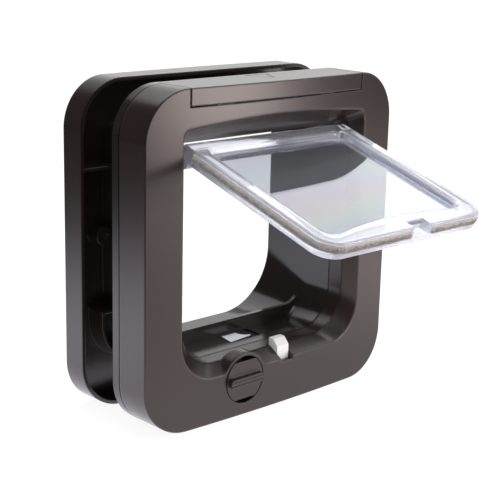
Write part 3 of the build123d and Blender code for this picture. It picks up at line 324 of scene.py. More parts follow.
def pane_border(tree, place, along):
    """Share of the border at a place: none on the pane and one outside its rounded outline."""
    across = add(tree, "SeparateXYZ", {"Vector": place}).outputs["X"]
    # The pane's foot is arched, so the way along the flap is shortened towards its sides.
    square = add(tree, "Math", {0: across, 1: across}, operation="MULTIPLY")
    bend = -PANE_ARCH / (PANE_HALF ** 2 * MM)
    arched = add(tree, "Math", {0: square, 1: bend, 2: along}, operation="MULTIPLY_ADD")
    spot = add(tree, "CombineXYZ", {"X": across, "Y": arched})
    middle = Vector((0, (PANE_TOP + PANE_FOOT) / 2, 0)) * MM
    straight = Vector((PANE_HALF - PANE_CORNER, (PANE_FOOT - PANE_TOP) / 2 - PANE_CORNER, 0)) * MM
    from_middle = add(tree, "VectorMath", {0: spot, 1: middle}, operation="SUBTRACT")
    aside = add(tree, "VectorMath", {0: from_middle}, operation="ABSOLUTE")
    past = add(tree, "VectorMath", {0: aside, 1: straight}, operation="SUBTRACT")
    outward = add(tree, "VectorMath", {0: past, 1: (0.0, 0.0, 0.0)}, operation="MAXIMUM")
    outside = add(tree, "VectorMath", {0: outward}, operation="LENGTH")
    return add(tree, "MapRange", {
        "Value": outside, "From Min": (PANE_CORNER - PANE_STEP) * MM,
        "From Max": (PANE_CORNER + PANE_STEP) * MM})


def clear_moulded_copolyester():
    """Clear copolyester: a polished pane with faint stress colours in a thick border with a hazier skin, and
    a line of painted shade between them.
    """
    material, tree, place = new_material("clear_moulded_copolyester")
    colours = finishes()
    angle = pile_sizes().open_angle
    down = Vector((0, -math.sin(angle), -math.cos(angle)))
    from_hinge = add(tree, "VectorMath", {0: place, 1: FLAP_HINGE}, operation="SUBTRACT")
    along = add(tree, "VectorMath", {0: from_hinge, 1: down}, operation="DOT_PRODUCT")
    border = pane_border(tree, place, along)
    # Painted shade along the edge of the pane.
    rim = add(tree, "Math", {0: border, 1: 0.5}, operation="PINGPONG")
    flow = add(tree, "TexNoise", {"Vector": place, "Scale": per_size(30.0), "Detail": 1.0})
    gloss = add(tree, "MapRange", {"Value": border, "To Min": 0.015, "To Max": 0.06})
    clear = add(tree, "MapRange", {"Value": border, "To Min": 0.95, "To Max": 0.76})
    skin = add(tree, "Bump", {"Height": flow, "Strength": 0.06, "Distance": 0.1 * MM})
    # The thick hinge rail is clearer. It sank as it cooled, which left streaks about 1.6 mm wide along it.
    rail = add(tree, "MapRange", {
        "Value": along, "From Min": PANE_TOP * MM, "From Max": (PANE_TOP - RAIL_EDGE) * MM})
    clear = add(tree, "MapRange", {"Value": rail, "To Min": clear, "To Max": 0.92})
    drawn = add(tree, "VectorMath", {
        0: place, 1: (per_size(60.0), per_size(1.6), per_size(1.6))}, operation="MULTIPLY")
    streaks = add(tree, "TexNoise", {"Vector": drawn, "Scale": 1.0, "Detail": 2.0})
    sunk = add(tree, "Math", {0: rail, 1: RAIL_STREAKS}, operation="MULTIPLY")
    skin = add(tree, "Bump", {"Height": streaks, "Strength": sunk, "Distance": 1.0 * MM, "Normal": skin})
    # Stress left by the moulding shows as bands of colour across the pane, about 50 mm from red to red.
    stress = add(tree, "Math", {0: along, 1: per_size(50.0), 2: flow}, operation="MULTIPLY_ADD")
    hue = add(tree, "Math", {0: stress}, operation="FRACT")
    bands = add(tree, "CombineColor", {0: hue, 1: 1.0, 2: 1.0}, mode="HSV")
    strong = add(tree, "MapRange", {"Value": border, "To Min": 0.18, "To Max": 0.0})
    faint = add(tree, "MapRange", {"Value": border, "To Min": 0.02, "To Max": 0.0})
    sheen = add(tree, "Mix", {"Factor": strong, "A": WHITE, "B": bands}, data_type="RGBA")
    plain = add(tree, "Mix", {
        "Factor": border, "A": tuple(colours.pane), "B": tuple(colours.border)}, data_type="RGBA")
    lined = add(tree, "Mix", {"Factor": rim, "A": plain, "B": tuple(colours.rim)}, data_type="RGBA")
    body = add(tree, "Mix", {"Factor": faint, "A": lined, "B": bands}, data_type="RGBA")
    glass = add(tree, "BsdfPrincipled", {
        "Base Color": body, "Roughness": gloss, "Normal": skin, "IOR": COPOLYESTER_IOR,
        "Transmission Weight": clear, "Specular Tint": sheen})
    # Lamps shine through the flap, so that it doesn't shade the frame as a solid would.
    passing = add(tree, "BsdfTransparent", {"Color": linear("#f6f7f9")})
    shadow = add(tree, "LightPath").outputs["Is Shadow Ray"]
    mixed = add(tree, "MixShader", {"Fac": shadow, 1: glass, 2: passing})
    finish_material(tree, mixed)
    return material


# Painted highlight on the front of the pile, in millimetres: how ragged its edge is, and where it starts and
# ends
HIGHLIGHT_RAGGED = 7.0
HIGHLIGHT_START = 2.9
HIGHLIGHT_END = 4.9


def woven_nylon_pile():
    """Cut nylon pile: matt, mottled by tufts that lean apart, painted paler at the front as highlight and
    darker in its core as shade, with a soft sheen at its edge.
    """
    material, tree, place = new_material("woven_nylon_pile")
    light = tuple(finishes().pile_light_and_highlit)
    dark = tuple(finishes().pile_dark_and_shaded)
    sizes = pile_sizes()
    front = Vector((0, -math.cos(sizes.open_angle), math.sin(sizes.open_angle)))
    core = FLAP_HINGE + front * sizes.centre
    from_core = add(tree, "VectorMath", {0: place, 1: core}, operation="SUBTRACT")
    aside = add(tree, "VectorMath", {0: from_core, 1: front}, operation="DOT_PRODUCT")
    tufts = add(tree, "TexNoise", {
        "Vector": place, "Scale": per_size(3.0), "Detail": 4.0, "Roughness": 0.7})
    share = add(tree, "MapRange", {"Value": tufts, "From Min": 0.34, "From Max": 0.62})
    # Painted highlight and shade: the fibres that splay to the front are painted paler than the dense core,
    # which is painted darker, with a ragged edge between them.
    flecks = add(tree, "TexNoise", {"Vector": place, "Scale": per_size(1.1), "Detail": 2.0})
    ragged = add(tree, "Math", {0: flecks, 1: HIGHLIGHT_RAGGED * MM, 2: aside}, operation="MULTIPLY_ADD")
    tips = add(tree, "MapRange", {
        "Value": ragged, "From Min": HIGHLIGHT_START * MM, "From Max": HIGHLIGHT_END * MM})
    pale = add(tree, "Math", {0: 0.5, 1: share, 2: tips}, operation="MULTIPLY_ADD", use_clamp=True)
    tint = add(tree, "Mix", {"Factor": pale, "A": dark, "B": light}, data_type="RGBA")
    # Fibres are finer than 0.1 mm and are drawn at 0.25 mm, so that they show close up.
    fibres = add(tree, "TexNoise", {"Vector": place, "Scale": per_size(0.25), "Detail": 2.0})
    skin = add(tree, "Bump", {"Height": fibres, "Strength": 0.6, "Distance": 0.15 * MM})
    shader = add(tree, "BsdfPrincipled", {
        "Base Color": tint, "Roughness": 0.95, "Normal": skin, "Sheen Weight": 0.4, "Sheen Roughness": 0.5})
    finish_material(tree, shader)
    return material


def grained_plastic(name, colour, size, low, high):
    """Moulded engineering plastic with a slight grain: its gloss varies between two roughness values."""
    material, tree, place = new_material(name)
    grain = add(tree, "TexNoise", {"Vector": place, "Scale": per_size(size), "Detail": 3.0})
    tint = add(tree, "Mix", {
        "Factor": grain, "A": shade(colour, 0.9), "B": shade(colour, 1.08)}, data_type="RGBA")
    gloss = add(tree, "MapRange", {"Value": grain, "To Min": low, "To Max": high})
    skin = add(tree, "Bump", {"Height": grain, "Strength": 0.08, "Distance": 0.05 * MM})
    shader = add(tree, "BsdfPrincipled", {"Base Color": tint, "Roughness": gloss, "Normal": skin})
    finish_material(tree, shader)
    return material


def plated_metal(name, colour, size, low, high):
    """Plated sheet or wire metal: fine drawing marks that vary its gloss."""
    material, tree, place = new_material(name)
    marks = add(tree, "TexNoise", {"Vector": place, "Scale": per_size(size), "Detail": 4.0})
    tint = add(tree, "Mix", {
        "Factor": marks, "A": shade(colour, 0.7), "B": shade(colour, 1.15)}, data_type="RGBA")
    gloss = add(tree, "MapRange", {"Value": marks, "To Min": low, "To Max": high})
    shader = add(tree, "BsdfPrincipled", {"Base Color": tint, "Roughness": gloss, "Metallic": 1.0})
    finish_material(tree, shader)
    return material


# Cells, in millimetres: their middle from that of the unit, and from there the start of the silver end and
# of the bare tips, each with a soft edge
CELL_MIDDLE = 25.4
SILVER_END = (11.9, 12.1)
BARE_TIP = (24.1, 24.2)


def printed_cell_sleeve():
    """Printed PVC sleeve shrunk on a cell: glossy slate with a silver end, and bare metal at the tips."""
    material, tree, place = new_material("printed_cell_sleeve")
    parts = add(tree, "SeparateXYZ", {"Vector": place})
    outwards = add(tree, "Math", {0: parts.outputs["X"]}, operation="ABSOLUTE")
    along = add(tree, "Math", {0: outwards, 1: CELL_MIDDLE * MM}, operation="SUBTRACT")
    ends = add(tree, "Math", {0: along}, operation="ABSOLUTE")
    scuffs = add(tree, "TexNoise", {"Vector": place, "Scale": per_size(4.0), "Detail": 3.0})
    silver = add(tree, "MapRange", {
        "Value": along, "From Min": SILVER_END[0] * MM, "From Max": SILVER_END[1] * MM})
    bare = add(tree, "MapRange", {
        "Value": ends, "From Min": BARE_TIP[0] * MM, "From Max": BARE_TIP[1] * MM})
    sleeve = add(tree, "Mix", {
        "Factor": silver, "A": linear("#34465a"), "B": linear("#c3c8cd")}, data_type="RGBA")
    tint = add(tree, "Mix", {"Factor": bare, "A": sleeve, "B": linear("#c9c8c4")}, data_type="RGBA")
    gloss = add(tree, "MapRange", {"Value": scuffs, "To Min": 0.18, "To Max": 0.32})
    shader = add(tree, "BsdfPrincipled", {"Base Color": tint, "Roughness": gloss, "Metallic": bare})
    finish_material(tree, shader)
    return material


def enamelled_copper_winding():
    """Enamelled wire wound side by side: warm metal in fine glossy ridges, one to a turn, painted darker in
    the grooves as shade and lighter on the ridges as highlight.
    """
    material, tree, place = new_material("enamelled_copper_winding")
    # A wave texture repeats 20 times in a full circle's length at a scale of one.
    turns = add(tree, "TexWave", {
        "Vector": place, "Scale": math.tau / 20 * per_size(0.5)}, bands_direction="Y").outputs["Fac"]
    # Painted shade and highlight: each turn is darker in its groove and lighter on its ridge.
    tint = add(tree, "Mix", {
        "Factor": turns, "A": linear("#6b3416"), "B": linear("#c0713f")}, data_type="RGBA")
    skin = add(tree, "Bump", {"Height": turns, "Strength": 0.8, "Distance": 0.2 * MM})
    shader = add(tree, "BsdfPrincipled", {
        "Base Color": tint, "Roughness": 0.28, "Metallic": 1.0, "Normal": skin})
    finish_material(tree, shader)
    return material


def solder_masked_laminate():
    """Glass laminate under green solder mask: semi-gloss, with raised tracks of a paler green."""
    material, tree, place = new_material("solder_masked_laminate")
    parts = add(tree, "SeparateXYZ", {"Vector": place})
    flat = add(tree, "CombineXYZ", {"X": parts.outputs["Z"], "Y": parts.outputs["X"]})
    tracks = add(tree, "TexBrick", {
        "Vector": flat, "Scale": per_size(1.0), "Brick Width": 7.0, "Row Height": 1.6, "Mortar Size": 0.22,
        "Color1": linear("#17492e"), "Color2": linear("#1b5233"), "Mortar": linear("#3c8a58")})
    skin = add(tree, "Bump", {"Height": tracks.outputs["Fac"], "Strength": 0.5, "Distance": 0.04 * MM})
    shader = add(tree, "BsdfPrincipled", {
        "Base Color": tracks.outputs["Color"], "Roughness": 0.32, "Normal": skin})
    finish_material(tree, shader)
    return material


# Pale patch of painted light in the sensor window, the dark disc that cuts into it and the softness of both,
# in millimetres
PAINTED_LIGHT_PATCH = ((-9.2, -1.3), (-5.6, 14.4), (11.0, 14.4), (11.0, 0.9))
DISC_CENTRE = (13.5, 9.5, -75.3)
DISC_RADIUS = 7.5
PATCH_FADE = 0.1

ACRYLIC_IOR = 1.49


def tinted_acrylic_window():
    """Tinted acrylic: a dark glossy plate with a pale patch of painted light that glows a little."""
    material, tree, place = new_material("tinted_acrylic_window")
    dark = tuple(finishes().window)
    pale = tuple(finishes().window_painted_light)
    ripple = add(tree, "TexNoise", {"Vector": place, "Scale": per_size(6.0), "Detail": 1.0})
    from_disc = add(tree, "VectorMath", {0: place, 1: Vector(DISC_CENTRE) * MM}, operation="DISTANCE")
    disc = add(tree, "MapRange", {
        "Value": from_disc, "From Min": (DISC_RADIUS + PATCH_FADE) * MM,
        "From Max": (DISC_RADIUS - PATCH_FADE) * MM})
    outside = outline_distance(tree, place, PAINTED_LIGHT_PATCH)
    past = add(tree, "MapRange", {
        "Value": outside, "From Min": -PATCH_FADE * MM, "From Max": PATCH_FADE * MM})
    shut = add(tree, "Math", {0: disc, 1: past}, operation="MAXIMUM")
    tint = add(tree, "Mix", {"Factor": shut, "A": pale, "B": dark}, data_type="RGBA")
    gloss = add(tree, "MapRange", {"Value": ripple, "To Min": 0.04, "To Max": 0.1})
    # Painted glow: the pale patch emits light of its own colour.
    lit = add(tree, "MapRange", {"Value": shut, "To Min": 0.3, "To Max": 0.0})
    shader = add(tree, "BsdfPrincipled", {
        "Base Color": tint, "Roughness": gloss, "IOR": ACRYLIC_IOR, "Emission Color": pale,
        "Emission Strength": lit})
    finish_material(tree, shader)
    return material


def coat(piece, material):
    """Gives the piece this material alone."""
    piece.data.materials.clear()
    piece.data.materials.append(material)


def dress(material, *names):
    """Gives the material to CAD nodes."""
    for name in names:
        coat(NODES[name], material)


# Modelling helpers

def start_fresh():
    """Leaves edit mode and clears the selection."""
    if bpy.context.object and bpy.context.object.mode != "OBJECT":
        bpy.ops.object.mode_set(mode="OBJECT")
    bpy.ops.object.select_all(action="DESELECT")


def pick(piece):
    """Selects the piece alone and makes it the active one."""
    start_fresh()
    piece.select_set(True)
    bpy.context.view_layer.objects.active = piece


def apply_modifier(piece, kind, **settings):
    """Adds a modifier to the piece and applies it."""
    modifier = piece.modifiers.new(kind.lower(), kind)
    for name, value in settings.items():
        setattr(modifier, name, value)
    bpy.context.view_layer.objects.active = piece
    bpy.ops.object.modifier_apply(modifier=modifier.name)


def repeat(piece, count, step):
    """Repeats the piece in a row, each copy a step from the last."""
    apply_modifier(piece, "ARRAY", count=count, use_relative_offset=False, use_constant_offset=True,
                   constant_offset_displace=step)


def join(pieces, name):
    """Joins pieces into the first one and names it."""
    start_fresh()
    for piece in pieces:
        piece.select_set(True)
    bpy.context.view_layer.objects.active = pieces[0]
    bpy.ops.object.join()
    pieces[0].name = name
    pieces[0].data.name = name
    return pieces[0]


def place_piece(piece, matrix):
    """Puts the piece at its place and leaves that place in its mesh."""
    pick(piece)
    piece.matrix_world = matrix
    bpy.ops.object.transform_apply(location=True, rotation=True, scale=True)


def tidy_mesh(piece):
    """Merges doubled points, closes open ends and points all faces outwards."""
    pick(piece)
    bpy.ops.object.mode_set(mode="EDIT")
    bpy.ops.mesh.select_all(action="SELECT")
    bpy.ops.mesh.remove_doubles(threshold=0.002 * MM)
    bpy.ops.mesh.select_all(action="DESELECT")
    bpy.ops.mesh.select_non_manifold()
    bpy.ops.mesh.fill_holes(sides=0)
    bpy.ops.mesh.select_all(action="SELECT")
    bpy.ops.mesh.normals_make_consistent(inside=False)
    bpy.ops.object.mode_set(mode="OBJECT")


class CATFLAP_OT_housings(bpy.types.Operator):
    """Dresses the moulded shells, the battery cover and the lock knob"""

    bl_idname = "catflap.housings"
    bl_label = "Housings"

    def execute(self, context):
        shell = satin_moulded_abs("satin_moulded_abs", SHELL_ROUNDING)
        face = satin_moulded_abs("satin_moulded_abs_face", SHELL_ROUNDING, rounder_rim=True)
        arrow_shaded = satin_moulded_abs("satin_moulded_abs_marked", SHELL_ROUNDING, outline=ARROW)
        small = satin_moulded_abs("satin_moulded_abs_small", KNOB_ROUNDING)
        dress(shell, "exterior_frame")
        dress(face, "front_housing")
        dress(arrow_shaded, "battery_cover")
        dress(small, "lock_knob")
        dress(polished_moulded_abs(), "rear_cover")
        return {"FINISHED"}


class CATFLAP_OT_flap(bpy.types.Operator):
    """Dresses the clear flap"""

    bl_idname = "catflap.flap"
    bl_label = "Clear flap"

    def execute(self, context):
        dress(clear_moulded_copolyester(), "flap_panel")
        return {"FINISHED"}


# Pile of the draught strips: steps in the flap's corner, and the tufts of one section of the strip, which is
# two tufts long
ARC_STEPS = 14
SECTION_TUFTS = 2
TUFT_ROWS = 6
TUFT_COLUMNS = 3
TUFT_SIDES = 4

# Bed of the pile as shares of the strip's depth and width, and radii of a tuft as shares of its width; the
# roots stand a little closer together than the rows
BED_TOP = 0.35
BED_FOOT = 0.97
BED_WIDTH = 0.97
ROOT_RADIUS = 0.5
TIP_RADIUS = 0.2
ROOT_SPREAD = 0.8

# Unevenness of the pile, in millimetres: its size, strength and direction
RUFFLES = ((0.9, 0.8, "RGB_TO_XYZ"), (3.5, 1.4, "Z"))


def strip_path(side, half, sizes):
    """Line of the flap's edge that a strip follows on the shut flap, with the outside on its right."""
    foot = -sizes.reach
    centre_x = half - sizes.corner
    centre_z = foot + sizes.corner
    arc = []
    for step in range(ARC_STEPS + 1):
        angle = math.radians(90 * step / ARC_STEPS)
        arc.append((math.sin(angle) * sizes.corner, -math.cos(angle) * sizes.corner))
    if side < 0:
        corner = [(-centre_x - x, centre_z + z) for x, z in reversed(arc)]
        return [(-half, -sizes.drop)] + corner + [(sizes.gap_left, foot)]
    corner = [(centre_x + x, centre_z + z) for x, z in arc]
    return [(sizes.gap_right, foot)] + corner + [(half, -sizes.drop)]


def pile_bed(pitch, sizes):
    """One section of the strip's bed, open at both ends so that its copies join up."""
    top = BED_TOP * sizes.depth
    foot = BED_FOOT * sizes.depth
    start_fresh()
    bpy.ops.mesh.primitive_cube_add(size=1, location=(pitch / 2, (top + foot) / 2, 0))
    bed = bpy.context.object
    bed.scale = (pitch, foot - top, BED_WIDTH * sizes.width)
    bpy.ops.object.transform_apply(location=True, rotation=True, scale=True)
    bpy.ops.object.mode_set(mode="EDIT")
    bpy.ops.mesh.select_all(action="DESELECT")
    bpy.ops.object.mode_set(mode="OBJECT")
    for face in bed.data.polygons:
        face.select = abs(face.normal.x) > 0.5
    bpy.ops.object.mode_set(mode="EDIT")
    bpy.ops.mesh.delete(type="FACE")
    bpy.ops.object.mode_set(mode="OBJECT")
    return bed


def pile_tufts(pitch, sizes):
    """Staggered rows of tufts on one section of the bed, which lean apart towards the strip's edges."""
    tufts = []
    bed_top = BED_TOP * sizes.depth
    middle = sizes.fibre / 2
    across = sizes.width / TUFT_ROWS
    for row in range(TUFT_ROWS):
        aside = (row + 0.5) * across - sizes.width / 2
        lean = sizes.splay * 2 * aside / sizes.width
        first = 0.75 if row % 2 else 0.25
        for column in range(TUFT_COLUMNS):
            x = pitch * (column + first) / TUFT_COLUMNS
            y = bed_top - middle * math.cos(lean)
            z = ROOT_SPREAD * aside + middle * math.sin(lean)
            bpy.ops.mesh.primitive_cone_add(
                vertices=TUFT_SIDES, radius1=ROOT_RADIUS * sizes.tuft, radius2=TIP_RADIUS * sizes.tuft,
                depth=sizes.fibre, location=(x, y, z), rotation=(math.radians(90) - lean, 0, 0))
            tufts.append(bpy.context.object)
    return tufts


def ruffle(strip, name):
    """Moves the tufts unevenly: a little in all directions, and in waves across the strip."""
    unevenness = bpy.data.textures.new(name + "_unevenness", "CLOUDS")
    unevenness.cloud_type = "COLOR"
    for size, strength, direction in RUFFLES:
        unevenness.noise_scale = size * MM
        apply_modifier(strip, "DISPLACE", texture=unevenness, direction=direction, strength=strength * MM,
                       texture_coords="LOCAL")


def bend_along(strip, points, name):
    """Bends a straight strip onto a line of points."""
    path = bpy.data.curves.new(name + "_path", "CURVE")
    path.dimensions = "2D"
    spline = path.splines.new("POLY")
    spline.points.add(len(points) - 1)
    for point, (x, z) in zip(spline.points, points):
        point.co = (x, z, 0, 1)
    guide = bpy.data.objects.new(name + "_path", path)
    bpy.context.scene.collection.objects.link(guide)
    apply_modifier(strip, "CURVE", object=guide, deform_axis="POS_X")
    bpy.data.objects.remove(guide)


def pile_strip(name, side, sizes):
    """Strip of cut pile: tufts on a bed, repeated along the strip and bent round the flap's edge."""
    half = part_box("brush_right")[1].x
    points = strip_path(side, half, sizes)
    length = sum(math.dist(start, end) for start, end in zip(points, points[1:]))
    count = round(length / (SECTION_TUFTS * sizes.tuft))
    pitch = length / count
    strip = join([pile_bed(pitch, sizes)] + pile_tufts(pitch, sizes), name)
    repeat(strip, count, (pitch, 0, 0))
    ruffle(strip, name)
    bend_along(strip, points, name)
    tidy_mesh(strip)
    upright = Matrix.Rotation(math.radians(90), 4, "X")
    shut = Matrix.Translation(Vector((0, -sizes.centre, 0))) @ upright
    opened = Matrix.Rotation(-sizes.open_angle, 4, "X")
    place_piece(strip, Matrix.Translation(FLAP_HINGE) @ opened @ shut)
    return strip


class CATFLAP_OT_draught_strips(bpy.types.Operator):
    """Makes the pile of the two draught strips in the flap's edge"""

    bl_idname = "catflap.draught_strips"
    bl_label = "Draught strips"

    def execute(self, context):
        pile = woven_nylon_pile()
        for name, side, node in (("pile_left", -1, "brush_left"), ("pile_right", 1, "brush_right")):
            strip = pile_strip(name, side, pile_sizes())
            coat(strip, pile)
            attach(strip, "flap")
            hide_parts(node)
        return {"FINISHED"}


class CATFLAP_OT_latch(bpy.types.Operator):
    """Dresses the white latch, its drive, the button, the flap's bearings and the sensor window"""

    bl_idname = "catflap.latch"
    bl_label = "Latch and small mouldings"

    def execute(self, context):
        white = grained_plastic("white_moulded_nylon", tuple(finishes().latch), 0.8, 0.3, 0.42)
        dress(white, "latch", "latch_cam", "knob_cam", "memory_button")
        black = grained_plastic("black_moulded_acetal", linear("#1b1b1d"), 0.6, 0.35, 0.45)
        dress(black, "pivot_bush_left", "pivot_bush_right")
        dress(tinted_acrylic_window(), "sensor_window")
        return {"FINISHED"}


class CATFLAP_OT_electrics(bpy.types.Operator):
    """Dresses the cells, contacts, board, coil and motor, and the knob's clip"""

    bl_idname = "catflap.electrics"
    bl_label = "Electrics"

    def execute(self, context):
        dress(printed_cell_sleeve(), "battery_1", "battery_2", "battery_3", "battery_4")
        dress(plated_metal("nickel_plated_strip", linear("#c9c6be"), 0.4, 0.2, 0.35), "battery_contacts")
        dress(plated_metal("nickel_plated_can", linear("#bfbdb8"), 1.0, 0.15, 0.3), "latch_motor")
        dress(plated_metal("spring_steel_clip", linear("#a5a6a8"), 0.5, 0.25, 0.35), "knob_clip")
        dress(enamelled_copper_winding(), "antenna_coil")
        dress(solder_masked_laminate(), "circuit_board")
        epoxy = grained_plastic("moulded_epoxy", linear("#26262a"), 0.3, 0.5, 0.65)
        dress(epoxy, "board_components", "button_switch")
        return {"FINISHED"}


# Screws, in millimetres: radius and height of the head, radius and length of the shank
CASE_SCREW = (2.9, 1.0, 1.4, 11.0)
BOARD_SCREW = (2.0, 1.0, 1.0, 5.3)

SCREW_SIDES = 20
SMOOTH_ANGLE = math.radians(40)

# Bevel as a share of the head's height, and the slots that cross in it: length and width as shares of its
# radius, and height as a share of its own
HEAD_BEVEL = 0.25
RECESS = (1.2, 0.28, 1.2)

# Pitch of the rings, their root and the tip of the point as shares of the shank's radius
THREAD_PITCH = 0.6
THREAD_ROOT = 0.75
POINT_TIP = 0.15


def shank_cone(low, high, top, depth):
    """Part of a screw's shank that starts below its head, with its lower and upper radius, in millimetres."""
    start_fresh()
    bpy.ops.mesh.primitive_cone_add(
        vertices=SCREW_SIDES // 2, radius1=low * MM, radius2=high * MM, depth=depth * MM,
        location=(0, 0, -(top + depth / 2) * MM))
    bpy.ops.object.transform_apply(location=True)
    return bpy.context.object


def cross_screw(name, head, rise, shank, length):
    """Screw that points down from the origin: a head with a cross recess, a ringed shank and a point."""
    start_fresh()
    bpy.ops.mesh.primitive_cylinder_add(
        vertices=SCREW_SIDES, radius=head * MM, depth=rise * MM, location=(0, 0, -rise / 2 * MM))
    screw = bpy.context.object
    bpy.ops.object.transform_apply(location=True)
    apply_modifier(screw, "BEVEL", width=HEAD_BEVEL * rise * MM, segments=2, limit_method="ANGLE")
    long, wide, deep = RECESS
    for slot in (0, 90):
        start_fresh()
        bpy.ops.mesh.primitive_cube_add(size=1, rotation=(0, 0, math.radians(slot)))
        cutter = bpy.context.object
        cutter.scale = (long * head * MM, wide * head * MM, deep * rise * MM)
        bpy.ops.object.transform_apply(rotation=True, scale=True)
        apply_modifier(screw, "BOOLEAN", operation="DIFFERENCE", object=cutter, solver="EXACT")
        bpy.data.objects.remove(cutter)
    pitch = THREAD_PITCH * shank
    turns = int((length - shank) / pitch)
    thread = shank_cone(THREAD_ROOT * shank, shank, rise, pitch)
    repeat(thread, turns, (0, 0, -pitch * MM))
    threaded = turns * pitch
    point = shank_cone(POINT_TIP * shank, THREAD_ROOT * shank, rise + threaded, length - threaded)
    return join([screw, thread, point], name)


class CATFLAP_OT_screws(bpy.types.Operator):
    """Makes the screws of the case and of the board"""

    bl_idname = "catflap.screws"
    bl_label = "Screws"

    def execute(self, context):
        steel = plated_metal("zinc_plated_steel", linear("#b9bbbe"), 0.5, 0.25, 0.4)
        low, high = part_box("case_screws")
        inset = CASE_SCREW[0] * MM
        corners = [(x, z) for x in (low.x + inset, high.x - inset) for z in (low.z + inset, high.z - inset)]
        self.set_screws("case_screw_set", "case_screws", CASE_SCREW, high.y, -90, corners, steel)
        low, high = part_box("board_screws")
        inset = BOARD_SCREW[0] * MM
        ends = [(low.x + inset, z) for z in (low.z + inset, high.z - inset)]
        self.set_screws("board_screw_set", "board_screws", BOARD_SCREW, low.y, 90, ends, steel)
        return {"FINISHED"}

    def set_screws(self, name, node, sizes, face, turn, places, steel):
        """Copies one screw to all its places and joins the copies into a piece."""
        pattern = cross_screw(name, *sizes)
        copies = [pattern]
        for _ in places[1:]:
            copy = pattern.copy()
            copy.data = pattern.data.copy()
            bpy.context.scene.collection.objects.link(copy)
            copies.append(copy)
        turned = Matrix.Rotation(math.radians(turn), 4, "X")
        for copy, (x, z) in zip(copies, places):
            place_piece(copy, Matrix.Translation(Vector((x, face, z))) @ turned)
        screws = join(copies, name)
        bpy.ops.object.shade_smooth_by_angle(angle=SMOOTH_ANGLE)
        coat(screws, steel)
        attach(screws, "unit")
        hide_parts(node)


# Soft lights, in metres: place, point that they face, size and colour
STRIP_LIGHT = ((0.595, -0.865, -0.01), (0.0, 0.0, -0.01), (0.3, 0.2), "#ffefeb")
ROOF_LIGHT = ((0.375, 0.2, 0.62), (0.375, 0.2, 0.0), (1.15, 0.84), "#fcfdff")

# Brightness of the surroundings in reflections: from left to right, and its share from low to high
MIRRORED_ACROSS = {"From Min": -0.15, "From Max": 0.5, "To Min": 0.06, "To Max": 1.2}
MIRRORED_UP = {"From Min": 0.3, "From Max": 0.6, "To Min": 1.0, "To Max": 0.5}

# Floor, in metres: its size, its pools of light with their place, spread and brightness, the stretch from
# back to front over which their colour changes, and its own brightness where the camera sees it
FLOOR_SIZE = 14.0
FLOOR_POOLS = (
    ((0.45, -0.6), 0.65, 1.5),
    ((-0.27, 0.13), 0.27, 2.0),
    ((0.0, -0.14), 0.16, 0.45),
    ((0.3, -0.23), 0.19, 1.1),
)
POOL_FRONT = {"From Min": 0.05, "From Max": -0.15}
FLOOR_SEEN = 0.9

# Camera: the width of its sensor in millimetres, and the nearest and furthest that it sees in metres
SENSOR_WIDTH = 36.0
NEAREST = 0.05
FURTHEST = 40.0


def soft_box(name, glow, place, aim, size, colour):
    """Soft rectangular light of the given brightness and colour that faces a point."""
    lamp = bpy.data.lights.new(name, "AREA")
    lamp.shape = "RECTANGLE"
    lamp.size, lamp.size_y = size
    lamp.energy = math.pi * glow * size[0] * size[1]
    lamp.color = linear(colour)[:3]
    light = bpy.data.objects.new(name, lamp)
    bpy.context.scene.collection.objects.link(light)
    light.location = place
    light.rotation_euler = (Vector(aim) - Vector(place)).to_track_quat("-Z", "Y").to_euler()


def seen_rays(tree, path):
    """One where the camera sees a surface, straight or through the flap, and zero for light and gloss."""
    return add(tree, "Math", {
        0: path.outputs["Is Camera Ray"], 1: path.outputs["Is Transmission Ray"]}, operation="MAXIMUM")


def white_paper_sweep(floor_glow):
    """White paper: matt, with a faint fibre, in pools of light that the camera itself doesn't see."""
    material, tree, place = new_material("white_paper_sweep")
    seen = seen_rays(tree, add(tree, "LightPath"))
    fibre = add(tree, "TexNoise", {"Vector": place, "Scale": per_size(3.0), "Detail": 2.0})
    tint = add(tree, "Mix", {
        "Factor": fibre, "A": linear("#797979"), "B": linear("#7d7d7d")}, data_type="RGBA")
    dimmed = add(tree, "Mix", {"Factor": seen, "A": linear("#303030"), "B": tint}, data_type="RGBA")
    paper = add(tree, "BsdfDiffuse", {"Color": dimmed})
    pools = 0.0
    for centre, spread, glow in FLOOR_POOLS:
        away = add(tree, "VectorMath", {0: place, 1: (*centre, FLOOR_HEIGHT)}, operation="DISTANCE")
        share = add(tree, "Math", {0: away, 1: spread}, operation="DIVIDE")
        square = add(tree, "Math", {0: share, 1: 2.0}, operation="POWER")
        fade = add(tree, "Math", {0: math.exp(-1), 1: square}, operation="POWER")
        pools = add(tree, "Math", {0: fade, 1: glow * floor_glow, 2: pools}, operation="MULTIPLY_ADD")
    parts = add(tree, "SeparateXYZ", {"Vector": place})
    front = add(tree, "MapRange", {"Value": parts.outputs["Y"], **POOL_FRONT})
    hue = add(tree, "Mix", {
        "Factor": front, "A": linear("#f4f4ff"), "B": linear("#fff2f0")}, data_type="RGBA")
    colour = add(tree, "Mix", {"Factor": seen, "A": hue, "B": WHITE}, data_type="RGBA")
    strength = add(tree, "Mix", {"Factor": seen, "A": pools, "B": FLOOR_SEEN})
    glow = add(tree, "Emission", {"Color": colour, "Strength": strength})
    finish_material(tree, add(tree, "AddShader", {0: paper, 1: glow}))
    return material


